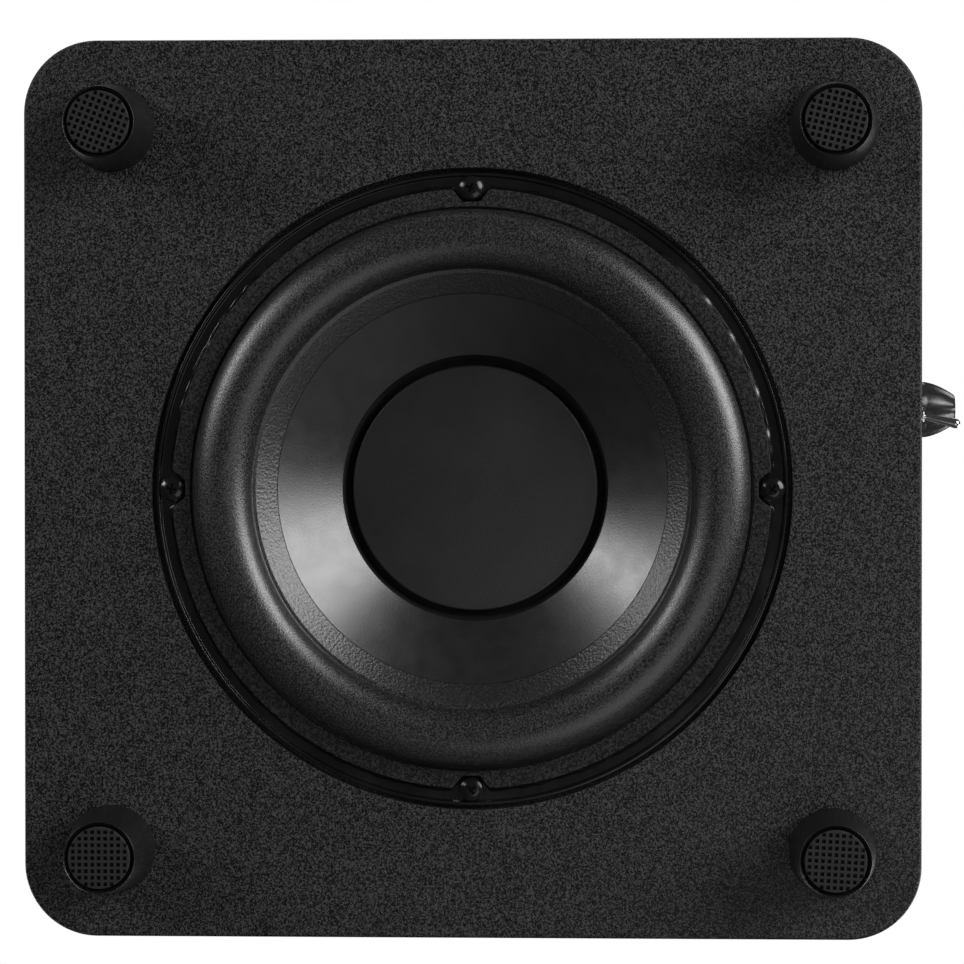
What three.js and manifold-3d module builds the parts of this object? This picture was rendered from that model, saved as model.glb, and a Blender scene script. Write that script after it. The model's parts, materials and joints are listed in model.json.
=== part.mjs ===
// Powered down-firing subwoofer: a rounded square cabinet on four tapered feet, with an
// eight inch driver in its underside and an amplifier plate on its rear wall.
// Millimetres, +Z up. The feet stand on z = 0, the front faces -Y and the rear faces +Y.
import * as THREE from "three";
import { mergeVertices } from "three/addons/utils/BufferGeometryUtils.js";
import Module from "manifold-3d";

const wasm = await Module();
wasm.setup();

// ---------------------------------------------------------------- driving dimensions
const CABINET_WIDTH = 295;
const CABINET_HEIGHT = 295;
const CORNER_RADIUS = 24;
const PANEL_THICKNESS = 18;
const WALL_THICKNESS = 15;
const JOINT_GAP = 0.3;

const FOOT_HEIGHT = 25;
const FOOT_OFFSET = 118.7;
const FOOT_BASE_RADIUS = 14.6;
const FOOT_TIP_RADIUS = 11.85;
const FOOT_RIM_LIFT = 0.6;
const PAD_RADIUS = 10.1;
const PAD_THICKNESS = 4;

const FLANGE_RADIUS = 104;
const REBATE_RADIUS = 105.3;
const CUTOUT_RADIUS = 93.5;
const SCREW_CIRCLE_RADIUS = 98.7;
const ROLL_CENTRE_RADIUS = 82.1;
const ROLL_HALF_WIDTH = 9.8;
const ROLL_HEIGHT = 8.8;
const CONE_OUTER_RADIUS = 71.5;
const CONE_SHOULDER_RADIUS = 44.4;
const CONE_GROOVE_RADIUS = 42.4;
const CONE_SLOPE = 0.69;
const FORMER_RADIUS = 25;
const CAP_RADIUS = 41.3;

const PLATE_WIDTH = 150;
const PLATE_HEIGHT = 200;
const PLATE_BOTTOM = 85;
const PLATE_THICKNESS = 2.25;
const SEAL_THICKNESS = 0.75;
const CONTROL_REACH = 18.5;

const LARGE_ROUND = 32;
const MEDIUM_ROUND = 18;
const SMALL_ROUND = 12;
const TINY_ROUND = 10;

// ---------------------------------------------------------------- levels and places
const BAFFLE_Z = FOOT_HEIGHT;
const WALL_Z = BAFFLE_Z + PANEL_THICKNESS;
const TOP_Z = FOOT_HEIGHT + CABINET_HEIGHT - PANEL_THICKNESS;
const REBATE_DEPTH = 4.5;
const REBATE_Z = BAFFLE_Z + REBATE_DEPTH;
const SEAT_Z = REBATE_Z - 1;
const FLANGE_Z = SEAT_Z - 1.5;
const LIP_Z = FLANGE_Z - 0.75;
const LEDGE_Z = FLANGE_Z + 40;
const MOTOR_Z = LEDGE_Z + 14.5;
const REAR_Y = CABINET_WIDTH / 2;
const PLATE_BACK_Y = REAR_Y + SEAL_THICKNESS;
const PLATE_FACE_Y = PLATE_BACK_Y + PLATE_THICKNESS;
const PLATE_CENTRE_Z = PLATE_BOTTOM + PLATE_HEIGHT / 2;
const BOARD_Y = 131;
const BOARD_THICKNESS = 1.5;

const CONTROL_X = 26.3;
const GAIN_Z = 183;
const CROSSOVER_Z = 145;
const TOGGLE_X = 24.2;
const TOGGLE_Z = 115;
const TOGGLE_TILT = THREE.MathUtils.degToRad(12.5);
const LED_Z = 225;
const JACK_X = 2;
const JACK_LEVELS = [228, 250];
const INLET_X = -42;
const INLET_Z = 190;
const SWITCH_X = -42;
const SWITCH_Z = 232;
const SWITCH_TILT = THREE.MathUtils.degToRad(8);

const FOOT_CORNERS = [
  ["front_left", -1, -1],
  ["front_right", 1, -1],
  ["rear_left", -1, 1],
  ["rear_right", 1, 1],
];
const DRIVER_SCREWS = [
  ["right", 0],
  ["rear", 90],
  ["left", 180],
  ["front", 270],
];
const PLATE_SCREWS = [
  ["lower_left", -1, -1],
  ["lower_right", 1, -1],
  ["upper_left", -1, 1],
  ["upper_right", 1, 1],
];
const PLATE_SCREW_X = PLATE_WIDTH / 2 - 6.5;
const PLATE_SCREW_Z = PLATE_HEIGHT / 2 - 6.5;

// ---------------------------------------------------------------- materials
function finish(color, roughness, metalness) {
  return new THREE.MeshStandardMaterial({ color, roughness, metalness });
}

const MATERIALS = {
  wrap: finish(0x2b2b2d, 0.62, 0),
  footPlastic: finish(0x161617, 0.4, 0),
  padRubber: finish(0x1d1d1e, 0.85, 0),
  blackScrew: finish(0x1a1a1b, 0.35, 0.6),
  zincScrew: finish(0x9a9b98, 0.4, 0.9),
  foam: finish(0x202021, 0.95, 0),
  blackSteel: finish(0x0d0d0e, 0.25, 0.3),
  gasketPaper: finish(0x262627, 0.85, 0),
  surroundRubber: finish(0x1b1b1c, 0.45, 0),
  spiderCloth: finish(0xb08a4a, 0.9, 0),
  bareSteel: finish(0x8b8d8f, 0.4, 0.9),
  ferrite: finish(0x2c2b2a, 0.75, 0.1),
  phenolic: finish(0x3a2416, 0.6, 0),
  braid: finish(0xb87333, 0.45, 0.8),
  polyCone: finish(0x151517, 0.3, 0),
  polyCap: finish(0x19191b, 0.38, 0),
  formerFoil: finish(0xa9abad, 0.35, 0.9),
  copperWinding: finish(0xb4622d, 0.35, 0.8),
  wadding: finish(0xd9d8d2, 1, 0),
  plateSteel: finish(0x1c1c1d, 0.5, 0.4),
  circuitBoard: finish(0x1f5a34, 0.5, 0),
  transformerCore: finish(0x5b5a57, 0.55, 0.6),
  knobPlastic: finish(0x111112, 0.2, 0),
  chrome: finish(0xd8d9db, 0.12, 1),
  switchPlastic: finish(0x121213, 0.4, 0),
  lens: finish(0x2f7bd6, 0.15, 0),
  cableSleeve: finish(0x8c1f1c, 0.5, 0),
};

// ---------------------------------------------------------------- shape helpers
function points(pairs) {
  return pairs.map(([x, y]) => new THREE.Vector2(x, y));
}

// A body turned about Z from (radius, height) pairs that run outwards along its bottom.
function turned(pairs, segments = MEDIUM_ROUND) {
  const geometry = new THREE.LatheGeometry(points(pairs), segments);
  geometry.rotateX(Math.PI / 2);
  return geometry;
}

function turnedRing(pairs, segments = MEDIUM_ROUND) {
  return turned([...pairs, pairs[0]], segments);
}

function washer(innerRadius, outerRadius, bottom, top, segments = LARGE_ROUND) {
  const section = [
    [innerRadius, bottom],
    [outerRadius, bottom],
    [outerRadius, top],
    [innerRadius, top],
  ];
  return turnedRing(section, segments);
}

function disc(radius, bottom, top, segments = SMALL_ROUND) {
  const section = [
    [0, bottom],
    [radius, bottom],
    [radius, top],
    [0, top],
  ];
  return turned(section, segments);
}

function roundedOutline(width, height, radius) {
  const w = width / 2;
  const h = height / 2;
  const shape = new THREE.Shape();
  shape.moveTo(-w + radius, -h);
  shape.lineTo(w - radius, -h);
  shape.absarc(w - radius, -h + radius, radius, -Math.PI / 2, 0, false);
  shape.lineTo(w, h - radius);
  shape.absarc(w - radius, h - radius, radius, 0, Math.PI / 2, false);
  shape.lineTo(-w + radius, h);
  shape.absarc(-w + radius, h - radius, radius, Math.PI / 2, Math.PI, false);
  shape.lineTo(-w, -h + radius);
  shape.absarc(-w + radius, -h + radius, radius, Math.PI, Math.PI * 1.5, false);
  return shape;
}

function slab(shape, bottom, top, curveSegments = 6) {
  const options = { depth: top - bottom, bevelEnabled: false, curveSegments };
  const geometry = new THREE.ExtrudeGeometry(shape, options);
  geometry.translate(0, 0, bottom);
  return geometry;
}

function block(x0, x1, y0, y1, z0, z1) {
  const geometry = new THREE.BoxGeometry(x1 - x0, y1 - y0, z1 - z0);
  geometry.translate((x0 + x1) / 2, (y0 + y1) / 2, (z0 + z1) / 2);
  return geometry;
}

// Turns a body built along +Z so that it points out of the rear wall, along +Y.
function facingRear(geometry, x, y, z) {
  geometry.rotateX(-Math.PI / 2);
  geometry.translate(x, y, z);
  return geometry;
}

function moved(geometry, x, y, z) {
  geometry.translate(x, y, z);
  return geometry;
}

function cable(route, radius, steps, sides = 8) {
  const curve = new THREE.CatmullRomCurve3(route.map((place) => new THREE.Vector3(...place)));
  const section = new THREE.Shape();
  section.absarc(0, 0, radius, 0, Math.PI * 2, false);
  const options = { steps, bevelEnabled: false, extrudePath: curve, curveSegments: sides / 2 };
  return new THREE.ExtrudeGeometry(section, options);
}

function toSolid(geometry) {
  const plain = geometry.clone();
  plain.deleteAttribute("normal");
  plain.deleteAttribute("uv");
  const merged = mergeVertices(plain, 1e-4);
  const index = merged.index.array;
  const kept = [];
  for (let i = 0; i < index.length; i += 3) {
    const [a, b, c] = index.slice(i, i + 3);
    if (a !== b && b !== c && c !== a) kept.push(a, b, c);
  }
  const vertProperties = new Float32Array(merged.attributes.position.array);
  const triVerts = new Uint32Array(kept);
  return new wasm.Manifold(new wasm.Mesh({ numProp: 3, vertProperties, triVerts }));
}

function toGeometry(solid) {
  const mesh = solid.getMesh();
  const geometry = new THREE.BufferGeometry();
  geometry.setAttribute("position", new THREE.BufferAttribute(mesh.vertProperties, 3));
  geometry.setIndex(new THREE.BufferAttribute(mesh.triVerts, 1));
  geometry.computeVertexNormals();
  return geometry;
}

function cut(geometry, ...cutters) {
  let solid = toSolid(geometry);
  for (const cutter of cutters) solid = solid.subtract(toSolid(cutter));
  return toGeometry(solid);
}

function join(geometry, ...others) {
  let solid = toSolid(geometry);
  for (const other of others) solid = solid.add(toSolid(other));
  return toGeometry(solid);
}

function onCircle(radius, degrees) {
  const angle = THREE.MathUtils.degToRad(degrees);
  return [radius * Math.cos(angle), radius * Math.sin(angle)];
}

const subwoofer = new THREE.Group();

function add(name, geometry, material) {
  const mesh = new THREE.Mesh(geometry, material);
  mesh.name = name;
  subwoofer.add(mesh);
  return mesh;
}

// ---------------------------------------------------------------- cabinet
function driverScrewHoles(radius, bottom, top) {
  return DRIVER_SCREWS.map(([, degrees]) => {
    const [x, y] = onCircle(SCREW_CIRCLE_RADIUS, degrees);
    return moved(disc(radius, bottom, top, TINY_ROUND), x, y, 0);
  });
}

function bottomBaffle() {
  const panel = slab(roundedOutline(CABINET_WIDTH, CABINET_WIDTH, CORNER_RADIUS), BAFFLE_Z, WALL_Z);
  const cutout = disc(CUTOUT_RADIUS, BAFFLE_Z - 1, WALL_Z + 1, LARGE_ROUND);
  const rebate = disc(REBATE_RADIUS, BAFFLE_Z - 1, REBATE_Z, LARGE_ROUND);
  const footHoles = FOOT_CORNERS.map(([, sx, sy]) => {
    const hole = disc(2.4, BAFFLE_Z - 1, WALL_Z + 1, TINY_ROUND);
    return moved(hole, sx * FOOT_OFFSET, sy * FOOT_OFFSET, 0);
  });
  const pilotHoles = driverScrewHoles(2.1, REBATE_Z - 1, WALL_Z + 1);
  return cut(panel, cutout, rebate, ...footHoles, ...pilotHoles);
}

function cabinetShell() {
  const inner = CABINET_WIDTH - 2 * WALL_THICKNESS;
  const outline = roundedOutline(CABINET_WIDTH, CABINET_WIDTH, CORNER_RADIUS);
  outline.holes.push(roundedOutline(inner, inner, CORNER_RADIUS - WALL_THICKNESS));
  const wall = slab(outline, WALL_Z, TOP_Z);
  const halfWidth = PLATE_WIDTH / 2 - 13;
  const margin = 14;
  const opening = block(
    -halfWidth,
    halfWidth,
    REAR_Y - WALL_THICKNESS - 2,
    REAR_Y + 2,
    PLATE_BOTTOM + margin,
    PLATE_BOTTOM + PLATE_HEIGHT - margin,
  );
  const pilotHoles = PLATE_SCREWS.map(([, sx, sz]) => {
    const hole = facingRear(disc(1.9, -16, 1, TINY_ROUND), 0, REAR_Y, 0);
    return moved(hole, sx * PLATE_SCREW_X, 0, PLATE_CENTRE_Z + sz * PLATE_SCREW_Z);
  });
  return cut(wall, opening, ...pilotHoles);
}

// A sheet of wadding that lines the front wall and both side walls.
function dampingWadding() {
  const outer = REAR_Y - WALL_THICKNESS - 0.5;
  const thickness = 14;
  const inner = outer - thickness;
  const bend = 10;
  const rearEnd = 60;
  const shape = new THREE.Shape();
  shape.moveTo(-outer, rearEnd);
  shape.lineTo(-outer, -outer + bend);
  shape.absarc(-outer + bend, -outer + bend, bend, Math.PI, Math.PI * 1.5, false);
  shape.lineTo(outer - bend, -outer);
  shape.absarc(outer - bend, -outer + bend, bend, -Math.PI / 2, 0, false);
  shape.lineTo(outer, rearEnd);
  shape.lineTo(inner, rearEnd);
  shape.lineTo(inner, -inner);
  shape.lineTo(-inner, -inner);
  shape.lineTo(-inner, rearEnd);
  return slab(shape, WALL_Z + 14, TOP_Z - 14, 4);
}

add("bottom_baffle", bottomBaffle(), MATERIALS.wrap);
add("cabinet_shell", cabinetShell(), MATERIALS.wrap);
const topOutline = roundedOutline(CABINET_WIDTH, CABINET_WIDTH, CORNER_RADIUS);
add("top_panel", slab(topOutline, TOP_Z, TOP_Z + PANEL_THICKNESS), MATERIALS.wrap);
add("damping_wadding", dampingWadding(), MATERIALS.wadding);

// ---------------------------------------------------------------- feet
const PAD_TOP = PAD_THICKNESS;
const POCKET_TOP = PAD_TOP + JOINT_GAP;
const FOOT_SCREW_HEAD_Z = POCKET_TOP + 1;
const FOOT_SCREW_SEAT_Z = FOOT_SCREW_HEAD_Z + 3.2;

function foot() {
  return turnedRing([
    [PAD_RADIUS + JOINT_GAP, FOOT_RIM_LIFT],
    [FOOT_TIP_RADIUS - 0.5, FOOT_RIM_LIFT],
    [FOOT_TIP_RADIUS, FOOT_RIM_LIFT + 0.6],
    [FOOT_BASE_RADIUS, FOOT_HEIGHT],
    [2.7, FOOT_HEIGHT],
    [2.7, FOOT_SCREW_SEAT_Z],
    [5.2, FOOT_SCREW_SEAT_Z],
    [5.2, POCKET_TOP],
    [PAD_RADIUS + JOINT_GAP, POCKET_TOP],
  ], MEDIUM_ROUND);
}

function footPad() {
  return turned([
    [0, 0],
    [PAD_RADIUS - 0.4, 0],
    [PAD_RADIUS, 0.4],
    [PAD_RADIUS, PAD_TOP],
    [0, PAD_TOP],
  ], MEDIUM_ROUND);
}

function footScrew() {
  return turned([
    [0, FOOT_SCREW_HEAD_Z],
    [4.2, FOOT_SCREW_HEAD_Z],
    [4.6, FOOT_SCREW_SEAT_Z - 0.6],
    [4.6, FOOT_SCREW_SEAT_Z],
    [2.1, FOOT_SCREW_SEAT_Z],
    [2.1, WALL_Z - 4],
    [0, WALL_Z - 1.5],
  ], TINY_ROUND);
}

for (const [corner, sx, sy] of FOOT_CORNERS) {
  const place = [sx * FOOT_OFFSET, sy * FOOT_OFFSET, 0];
  add(`foot_${corner}`, moved(foot(), ...place), MATERIALS.footPlastic);
  add(`foot_pad_${corner}`, moved(footPad(), ...place), MATERIALS.padRubber);
  add(`foot_screw_${corner}`, moved(footScrew(), ...place), MATERIALS.zincScrew);
}

// ---------------------------------------------------------------- driver, fixed pieces
const SHEET = 1.5;
const FLANGE_INNER_RADIUS = 92.5;
const LEDGE_OUTER_RADIUS = 58;
const LEDGE_INNER_RADIUS = 50.5;

function basketFrame() {
  const back = FLANGE_Z + SHEET;
  const shell = turnedRing([
    [FLANGE_INNER_RADIUS - 1.5, FLANGE_Z],
    [FLANGE_RADIUS - 0.5, FLANGE_Z],
    [FLANGE_RADIUS, FLANGE_Z + 0.5],
    [FLANGE_RADIUS, back],
    [FLANGE_INNER_RADIUS, back],
    [FLANGE_INNER_RADIUS - 2, FLANGE_Z + 20],
    [LEDGE_OUTER_RADIUS, LEDGE_Z + SHEET],
    [LEDGE_INNER_RADIUS + SHEET, LEDGE_Z + SHEET],
    [LEDGE_INNER_RADIUS + SHEET, MOTOR_Z],
    [30, MOTOR_Z],
    [30, MOTOR_Z - SHEET],
    [LEDGE_INNER_RADIUS, MOTOR_Z - SHEET],
    [LEDGE_INNER_RADIUS, LEDGE_Z],
    [LEDGE_OUTER_RADIUS - 0.6, LEDGE_Z],
    [FLANGE_INNER_RADIUS - 3.5, FLANGE_Z + 19.2],
  ], LARGE_ROUND);
  const windows = [];
  for (let k = 0; k < 6; k += 1) {
    const window = block(LEDGE_OUTER_RADIUS + 3, FLANGE_RADIUS, -24, 24, FLANGE_Z + 7, LEDGE_Z - 1);
    window.rotateZ((k * Math.PI) / 3);
    windows.push(window);
  }
  return cut(shell, ...windows, ...driverScrewHoles(2.1, FLANGE_Z - 1, FLANGE_Z + SHEET + 1));
}

function driverSeal() {
  const ring = washer(95, FLANGE_RADIUS - 0.5, SEAT_Z, REBATE_Z);
  return cut(ring, ...driverScrewHoles(2.1, SEAT_Z - 1, REBATE_Z + 1));
}

// The flat trim ring over the edge of the surround, notched round each screw head.
function surroundTrimRing() {
  const trimInner = 92.5;
  const trimOuter = 98.5;
  const stepRadius = 94.6;
  const ring = turnedRing([
    [trimInner, BAFFLE_Z],
    [trimOuter, BAFFLE_Z],
    [trimOuter, FLANGE_Z],
    [stepRadius, FLANGE_Z],
    [stepRadius, LIP_Z],
    [trimInner, LIP_Z],
  ], LARGE_ROUND);
  const notches = DRIVER_SCREWS.map(([, degrees]) => {
    const notch = new THREE.Shape(points([
      [SCREW_CIRCLE_RADIUS + 2, -6.6],
      [SCREW_CIRCLE_RADIUS + 2, 6.6],
      [SCREW_CIRCLE_RADIUS - 2, 5.2],
      [SCREW_CIRCLE_RADIUS - 4.4, 2.6],
      [SCREW_CIRCLE_RADIUS - 4.4, -2.6],
      [SCREW_CIRCLE_RADIUS - 2, -5.2],
    ]));
    return slab(notch, BAFFLE_Z - 1, FLANGE_Z + 1).rotateZ(THREE.MathUtils.degToRad(degrees));
  });
  return cut(ring, ...notches);
}

function driverScrew() {
  const headRadius = 4.1;
  return turned([
    [0, FLANGE_Z - 2.5],
    [2.4, FLANGE_Z - 2.4],
    [headRadius - 0.5, FLANGE_Z - 1.8],
    [headRadius, FLANGE_Z - 1],
    [headRadius, FLANGE_Z],
    [1.75, FLANGE_Z],
    [1.75, WALL_Z - 4],
    [0, WALL_Z - 2],
  ], SMALL_ROUND);
}

// Half round roll between two flat lips, bulging towards the floor.
function rollPoints(halfWidth, height, level, fromAngle, toAngle, steps) {
  const pairs = [];
  for (let k = 0; k <= steps; k += 1) {
    const angle = fromAngle + ((toAngle - fromAngle) * k) / steps;
    pairs.push([
      ROLL_CENTRE_RADIUS + halfWidth * Math.cos(angle),
      level + height * Math.sin(angle),
    ]);
  }
  return pairs;
}

// Height of the cone's sloping face, which the surround's inner lip is glued to.
function coneFaceZ(radius) {
  return FLANGE_Z + CONE_SLOPE * (CONE_OUTER_RADIUS - radius);
}

function surroundRoll() {
  const skin = 0.9;
  const lipInner = 64.8;
  const glueLine = 0.1;
  return turnedRing([
    [lipInner, coneFaceZ(lipInner) - 0.75],
    [CONE_OUTER_RADIUS, LIP_Z],
    ...rollPoints(ROLL_HALF_WIDTH, ROLL_HEIGHT, LIP_Z, -Math.PI, 0, 6),
    [94.25, LIP_Z],
    [94.25, FLANGE_Z],
    ...rollPoints(ROLL_HALF_WIDTH - skin, ROLL_HEIGHT - skin, FLANGE_Z, 0, -Math.PI, 6),
    [CONE_OUTER_RADIUS, FLANGE_Z - glueLine],
    [lipInner, coneFaceZ(lipInner) - glueLine],
  ], LARGE_ROUND);
}

// Corrugated cloth disc that centres the voice coil.
function spiderDisc() {
  const thickness = 0.8;
  const waves = 3;
  const innerFlat = 29;
  const outerFlat = 49.5;
  const middle = LEDGE_Z - 1.1;
  const front = [];
  for (let k = 0; k <= waves * 2; k += 1) {
    const radius = innerFlat + ((outerFlat - innerFlat) * k) / (waves * 2);
    const height = k % 2 === 0 ? -1.4 : 1.4;
    front.push([radius, middle + height]);
  }
  const back = front.map(([radius, height]) => [radius, height + thickness + 0.3]).reverse();
  return turnedRing([
    [FORMER_RADIUS + 0.4, middle - 1.4],
    ...front,
    [52, LEDGE_Z - thickness],
    [LEDGE_OUTER_RADIUS - 1.5, LEDGE_Z - thickness],
    [LEDGE_OUTER_RADIUS - 1.5, LEDGE_Z],
    [LEDGE_INNER_RADIUS - 0.3, LEDGE_Z],
    ...back,
    [FORMER_RADIUS + 0.4, middle - 0.3],
  ], 24);
}

const FRONT_PLATE_Z = MOTOR_Z;
const MAGNET_Z = FRONT_PLATE_Z + 7;
const YOKE_Z = MAGNET_Z + 18;
const YOKE_TOP_Z = YOKE_Z + 8;
const MAGNET_RADIUS = 55;

function magnetRing() {
  return turnedRing([
    [32, MAGNET_Z],
    [MAGNET_RADIUS - 1.5, MAGNET_Z],
    [MAGNET_RADIUS, MAGNET_Z + 1.5],
    [MAGNET_RADIUS, YOKE_Z - 1.5],
    [MAGNET_RADIUS - 1.5, YOKE_Z],
    [32, YOKE_Z],
  ], LARGE_ROUND);
}

// Back plate and vented pole piece in one turning.
function magnetYoke() {
  const poleRadius = 23.4;
  return turnedRing([
    [6, FRONT_PLATE_Z + 1],
    [poleRadius - 0.6, FRONT_PLATE_Z + 1],
    [poleRadius, FRONT_PLATE_Z + 1.6],
    [poleRadius, YOKE_Z],
    [MAGNET_RADIUS - 4, YOKE_Z],
    [MAGNET_RADIUS - 4, YOKE_TOP_Z - 1.5],
    [MAGNET_RADIUS - 5.5, YOKE_TOP_Z],
    [6, YOKE_TOP_Z],
  ], LARGE_ROUND);
}

const TERMINAL_Z = LEDGE_Z + SHEET + JOINT_GAP;

function terminalStrip() {
  const strip = block(52, 76, -11, 11, TERMINAL_Z, TERMINAL_Z + SHEET);
  const tags = [-7, 7].map((y) => block(68, 80, y - 2.4, y + 2.4, TERMINAL_Z + 0.5, TERMINAL_Z + 2.4));
  return join(strip, ...tags);
}

function tinselLead(side) {
  const y = 7 * side;
  const route = [
    [70, y, TERMINAL_Z - 0.5],
    [68, y, TERMINAL_Z - 8],
    [58, y, TERMINAL_Z - 15],
    [47, y, TERMINAL_Z - 17],
    [38, y, TERMINAL_Z - 14],
  ];
  return cable(route, 0.75, 12, 6);
}

add("driver_gasket", driverSeal(), MATERIALS.foam);
add("basket", basketFrame(), MATERIALS.blackSteel);
add("surround_trim_ring", surroundTrimRing(), MATERIALS.gasketPaper);
add("surround", surroundRoll(), MATERIALS.surroundRubber);
for (const [side, degrees] of DRIVER_SCREWS) {
  const [x, y] = onCircle(SCREW_CIRCLE_RADIUS, degrees);
  add(`driver_screw_${side}`, moved(driverScrew(), x, y, 0), MATERIALS.blackScrew);
}
add("spider", spiderDisc(), MATERIALS.spiderCloth);
add("magnet_front_plate", washer(27, 50, FRONT_PLATE_Z, MAGNET_Z), MATERIALS.bareSteel);
add("magnet_ring", magnetRing(), MATERIALS.ferrite);
add("magnet_yoke", magnetYoke(), MATERIALS.bareSteel);
add("terminal_strip", terminalStrip(), MATERIALS.phenolic);
add("tinsel_lead_plus", tinselLead(1), MATERIALS.braid);
add("tinsel_lead_minus", tinselLead(-1), MATERIALS.braid);

// ---------------------------------------------------------------- driver, moving pieces
const SHOULDER_Z = coneFaceZ(CONE_SHOULDER_RADIUS);
const CONE_GROOVE_Z = SHOULDER_Z + 3.3;
const NECK_Z = FLANGE_Z + 34.6;
const NECK_TOP_Z = NECK_Z + 2;

function coneBody() {
  return turnedRing([
    [FORMER_RADIUS + 0.35, NECK_TOP_Z],
    [FORMER_RADIUS + 1.2, NECK_Z],
    [CONE_GROOVE_RADIUS, CONE_GROOVE_Z],
    [CONE_SHOULDER_RADIUS, SHOULDER_Z],
    [CONE_OUTER_RADIUS, FLANGE_Z],
    [CONE_OUTER_RADIUS, FLANGE_Z + 1.1],
    [CONE_SHOULDER_RADIUS + 0.9, SHOULDER_Z + 0.7],
    [CONE_GROOVE_RADIUS + 0.9, CONE_GROOVE_Z + 0.6],
    [FORMER_RADIUS + 2.4, NECK_Z + 0.9],
    [FORMER_RADIUS + 1.5, NECK_TOP_Z],
  ], LARGE_ROUND);
}

const CAP_EDGE_Z = FLANGE_Z + 18;

// Height of the cone's face between groove and neck, where the skirt of the cap is glued.
function neckFaceZ(radius) {
  const neckRadius = FORMER_RADIUS + 1.2;
  const share = (CONE_GROOVE_RADIUS - radius) / (CONE_GROOVE_RADIUS - neckRadius);
  return CONE_GROOVE_Z + share * (NECK_Z - CONE_GROOVE_Z);
}

function dustCap() {
  const rise = 1.6;
  const skin = 0.9;
  const steps = 3;
  const outside = [];
  for (let k = 0; k <= steps; k += 1) {
    const share = k / steps;
    outside.push([(CAP_RADIUS - 0.7) * share, CAP_EDGE_Z - 0.4 - rise * (1 - share * share)]);
  }
  const inside = outside
    .slice(0, steps)
    .map(([radius, height]) => [radius, height + skin])
    .reverse();
  return turned([
    ...outside,
    [CAP_RADIUS, CAP_EDGE_Z + 0.4],
    [CAP_RADIUS, neckFaceZ(CAP_RADIUS)],
    [CAP_RADIUS - skin, neckFaceZ(CAP_RADIUS - skin)],
    [CAP_RADIUS - skin, CAP_EDGE_Z + 0.8],
    ...inside,
  ], LARGE_ROUND);
}

add("cone", coneBody(), MATERIALS.polyCone);
add("dust_cap", dustCap(), MATERIALS.polyCap);
const FORMER_TOP = MOTOR_Z + 10.8;
const former = washer(FORMER_RADIUS - 0.5, FORMER_RADIUS, NECK_Z - 2, FORMER_TOP, 24);
add("voice_coil_former", former, MATERIALS.formerFoil);
const winding = washer(FORMER_RADIUS + 0.4, FORMER_RADIUS + 1, MOTOR_Z - 3.5, MOTOR_Z + 10.5, 24);
add("voice_coil", winding, MATERIALS.copperWinding);

// ---------------------------------------------------------------- amplifier plate
function plateOutline(inset, radius) {
  return roundedOutline(PLATE_WIDTH - 2 * inset, PLATE_HEIGHT - 2 * inset, radius);
}

// A flat piece drawn in the rear wall's plane, from its outline and two depths along +Y.
function rearSlab(shape, backY, faceY, x, z, curveSegments = 4) {
  const geometry = slab(shape, 0, faceY - backY, curveSegments);
  return facingRear(geometry, x, backY, z);
}

function rearHole(radius, x, z, segments = SMALL_ROUND) {
  return facingRear(disc(radius, -4, 6, segments), x, PLATE_BACK_Y, z);
}

function rearCutout(width, height, x, z) {
  return block(x - width / 2, x + width / 2, REAR_Y - 3, PLATE_FACE_Y + 3, z - height / 2, z + height / 2);
}

function plateScrewPlaces() {
  return PLATE_SCREWS.map(([corner, sx, sz]) => {
    return [corner, sx * PLATE_SCREW_X, PLATE_CENTRE_Z + sz * PLATE_SCREW_Z];
  });
}

function countersink(radius, throat, depth) {
  return turned([
    [0, -6],
    [throat, -6],
    [throat, -depth],
    [radius, 0.01],
    [radius, 1],
    [0, 1],
  ], SMALL_ROUND);
}

function ampSeal() {
  const outline = plateOutline(1, 5);
  outline.holes.push(roundedOutline(PLATE_WIDTH - 24, PLATE_HEIGHT - 26, 3));
  const seal = rearSlab(outline, REAR_Y, PLATE_BACK_Y, 0, PLATE_CENTRE_Z);
  const holes = plateScrewPlaces().map(([, x, z]) => rearHole(2, x, z, TINY_ROUND));
  return cut(seal, ...holes);
}

const BUSHING_RADIUS = 3.5;
const TOGGLE_BUSHING_RADIUS = 2.9;
const INLET_BODY = [27, 20];
const SWITCH_BODY = [13, 19.5];

function ampPlate() {
  const plate = rearSlab(plateOutline(0, 6), PLATE_BACK_Y, PLATE_FACE_Y, 0, PLATE_CENTRE_Z);
  const sinks = plateScrewPlaces().map(([, x, z]) => {
    return facingRear(countersink(4, 2, 2), x, PLATE_FACE_Y, z);
  });
  return cut(
    plate,
    ...sinks,
    rearHole(BUSHING_RADIUS + JOINT_GAP, CONTROL_X, GAIN_Z),
    rearHole(BUSHING_RADIUS + JOINT_GAP, CONTROL_X, CROSSOVER_Z),
    rearHole(TOGGLE_BUSHING_RADIUS + JOINT_GAP, TOGGLE_X, TOGGLE_Z),
    rearHole(2.5 + JOINT_GAP, CONTROL_X, LED_Z),
    ...JACK_LEVELS.map((z) => rearHole(4.2 + JOINT_GAP, JACK_X, z)),
    rearCutout(INLET_BODY[0] + 2 * JOINT_GAP, INLET_BODY[1] + 2 * JOINT_GAP, INLET_X, INLET_Z),
    rearCutout(SWITCH_BODY[0] + 2 * JOINT_GAP, SWITCH_BODY[1] + 2 * JOINT_GAP, SWITCH_X, SWITCH_Z),
  );
}

function plateScrew() {
  return turned([
    [0, -15],
    [1.6, -13],
    [1.6, -2.1],
    [3.6, -0.15],
    [3.6, 0],
    [0, 0],
  ], SMALL_ROUND);
}

add("amp_gasket", ampSeal(), MATERIALS.foam);
add("amp_plate", ampPlate(), MATERIALS.plateSteel);
for (const [corner, x, z] of plateScrewPlaces()) {
  add(`amp_screw_${corner}`, facingRear(plateScrew(), x, PLATE_FACE_Y, z), MATERIALS.blackScrew);
}

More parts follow.
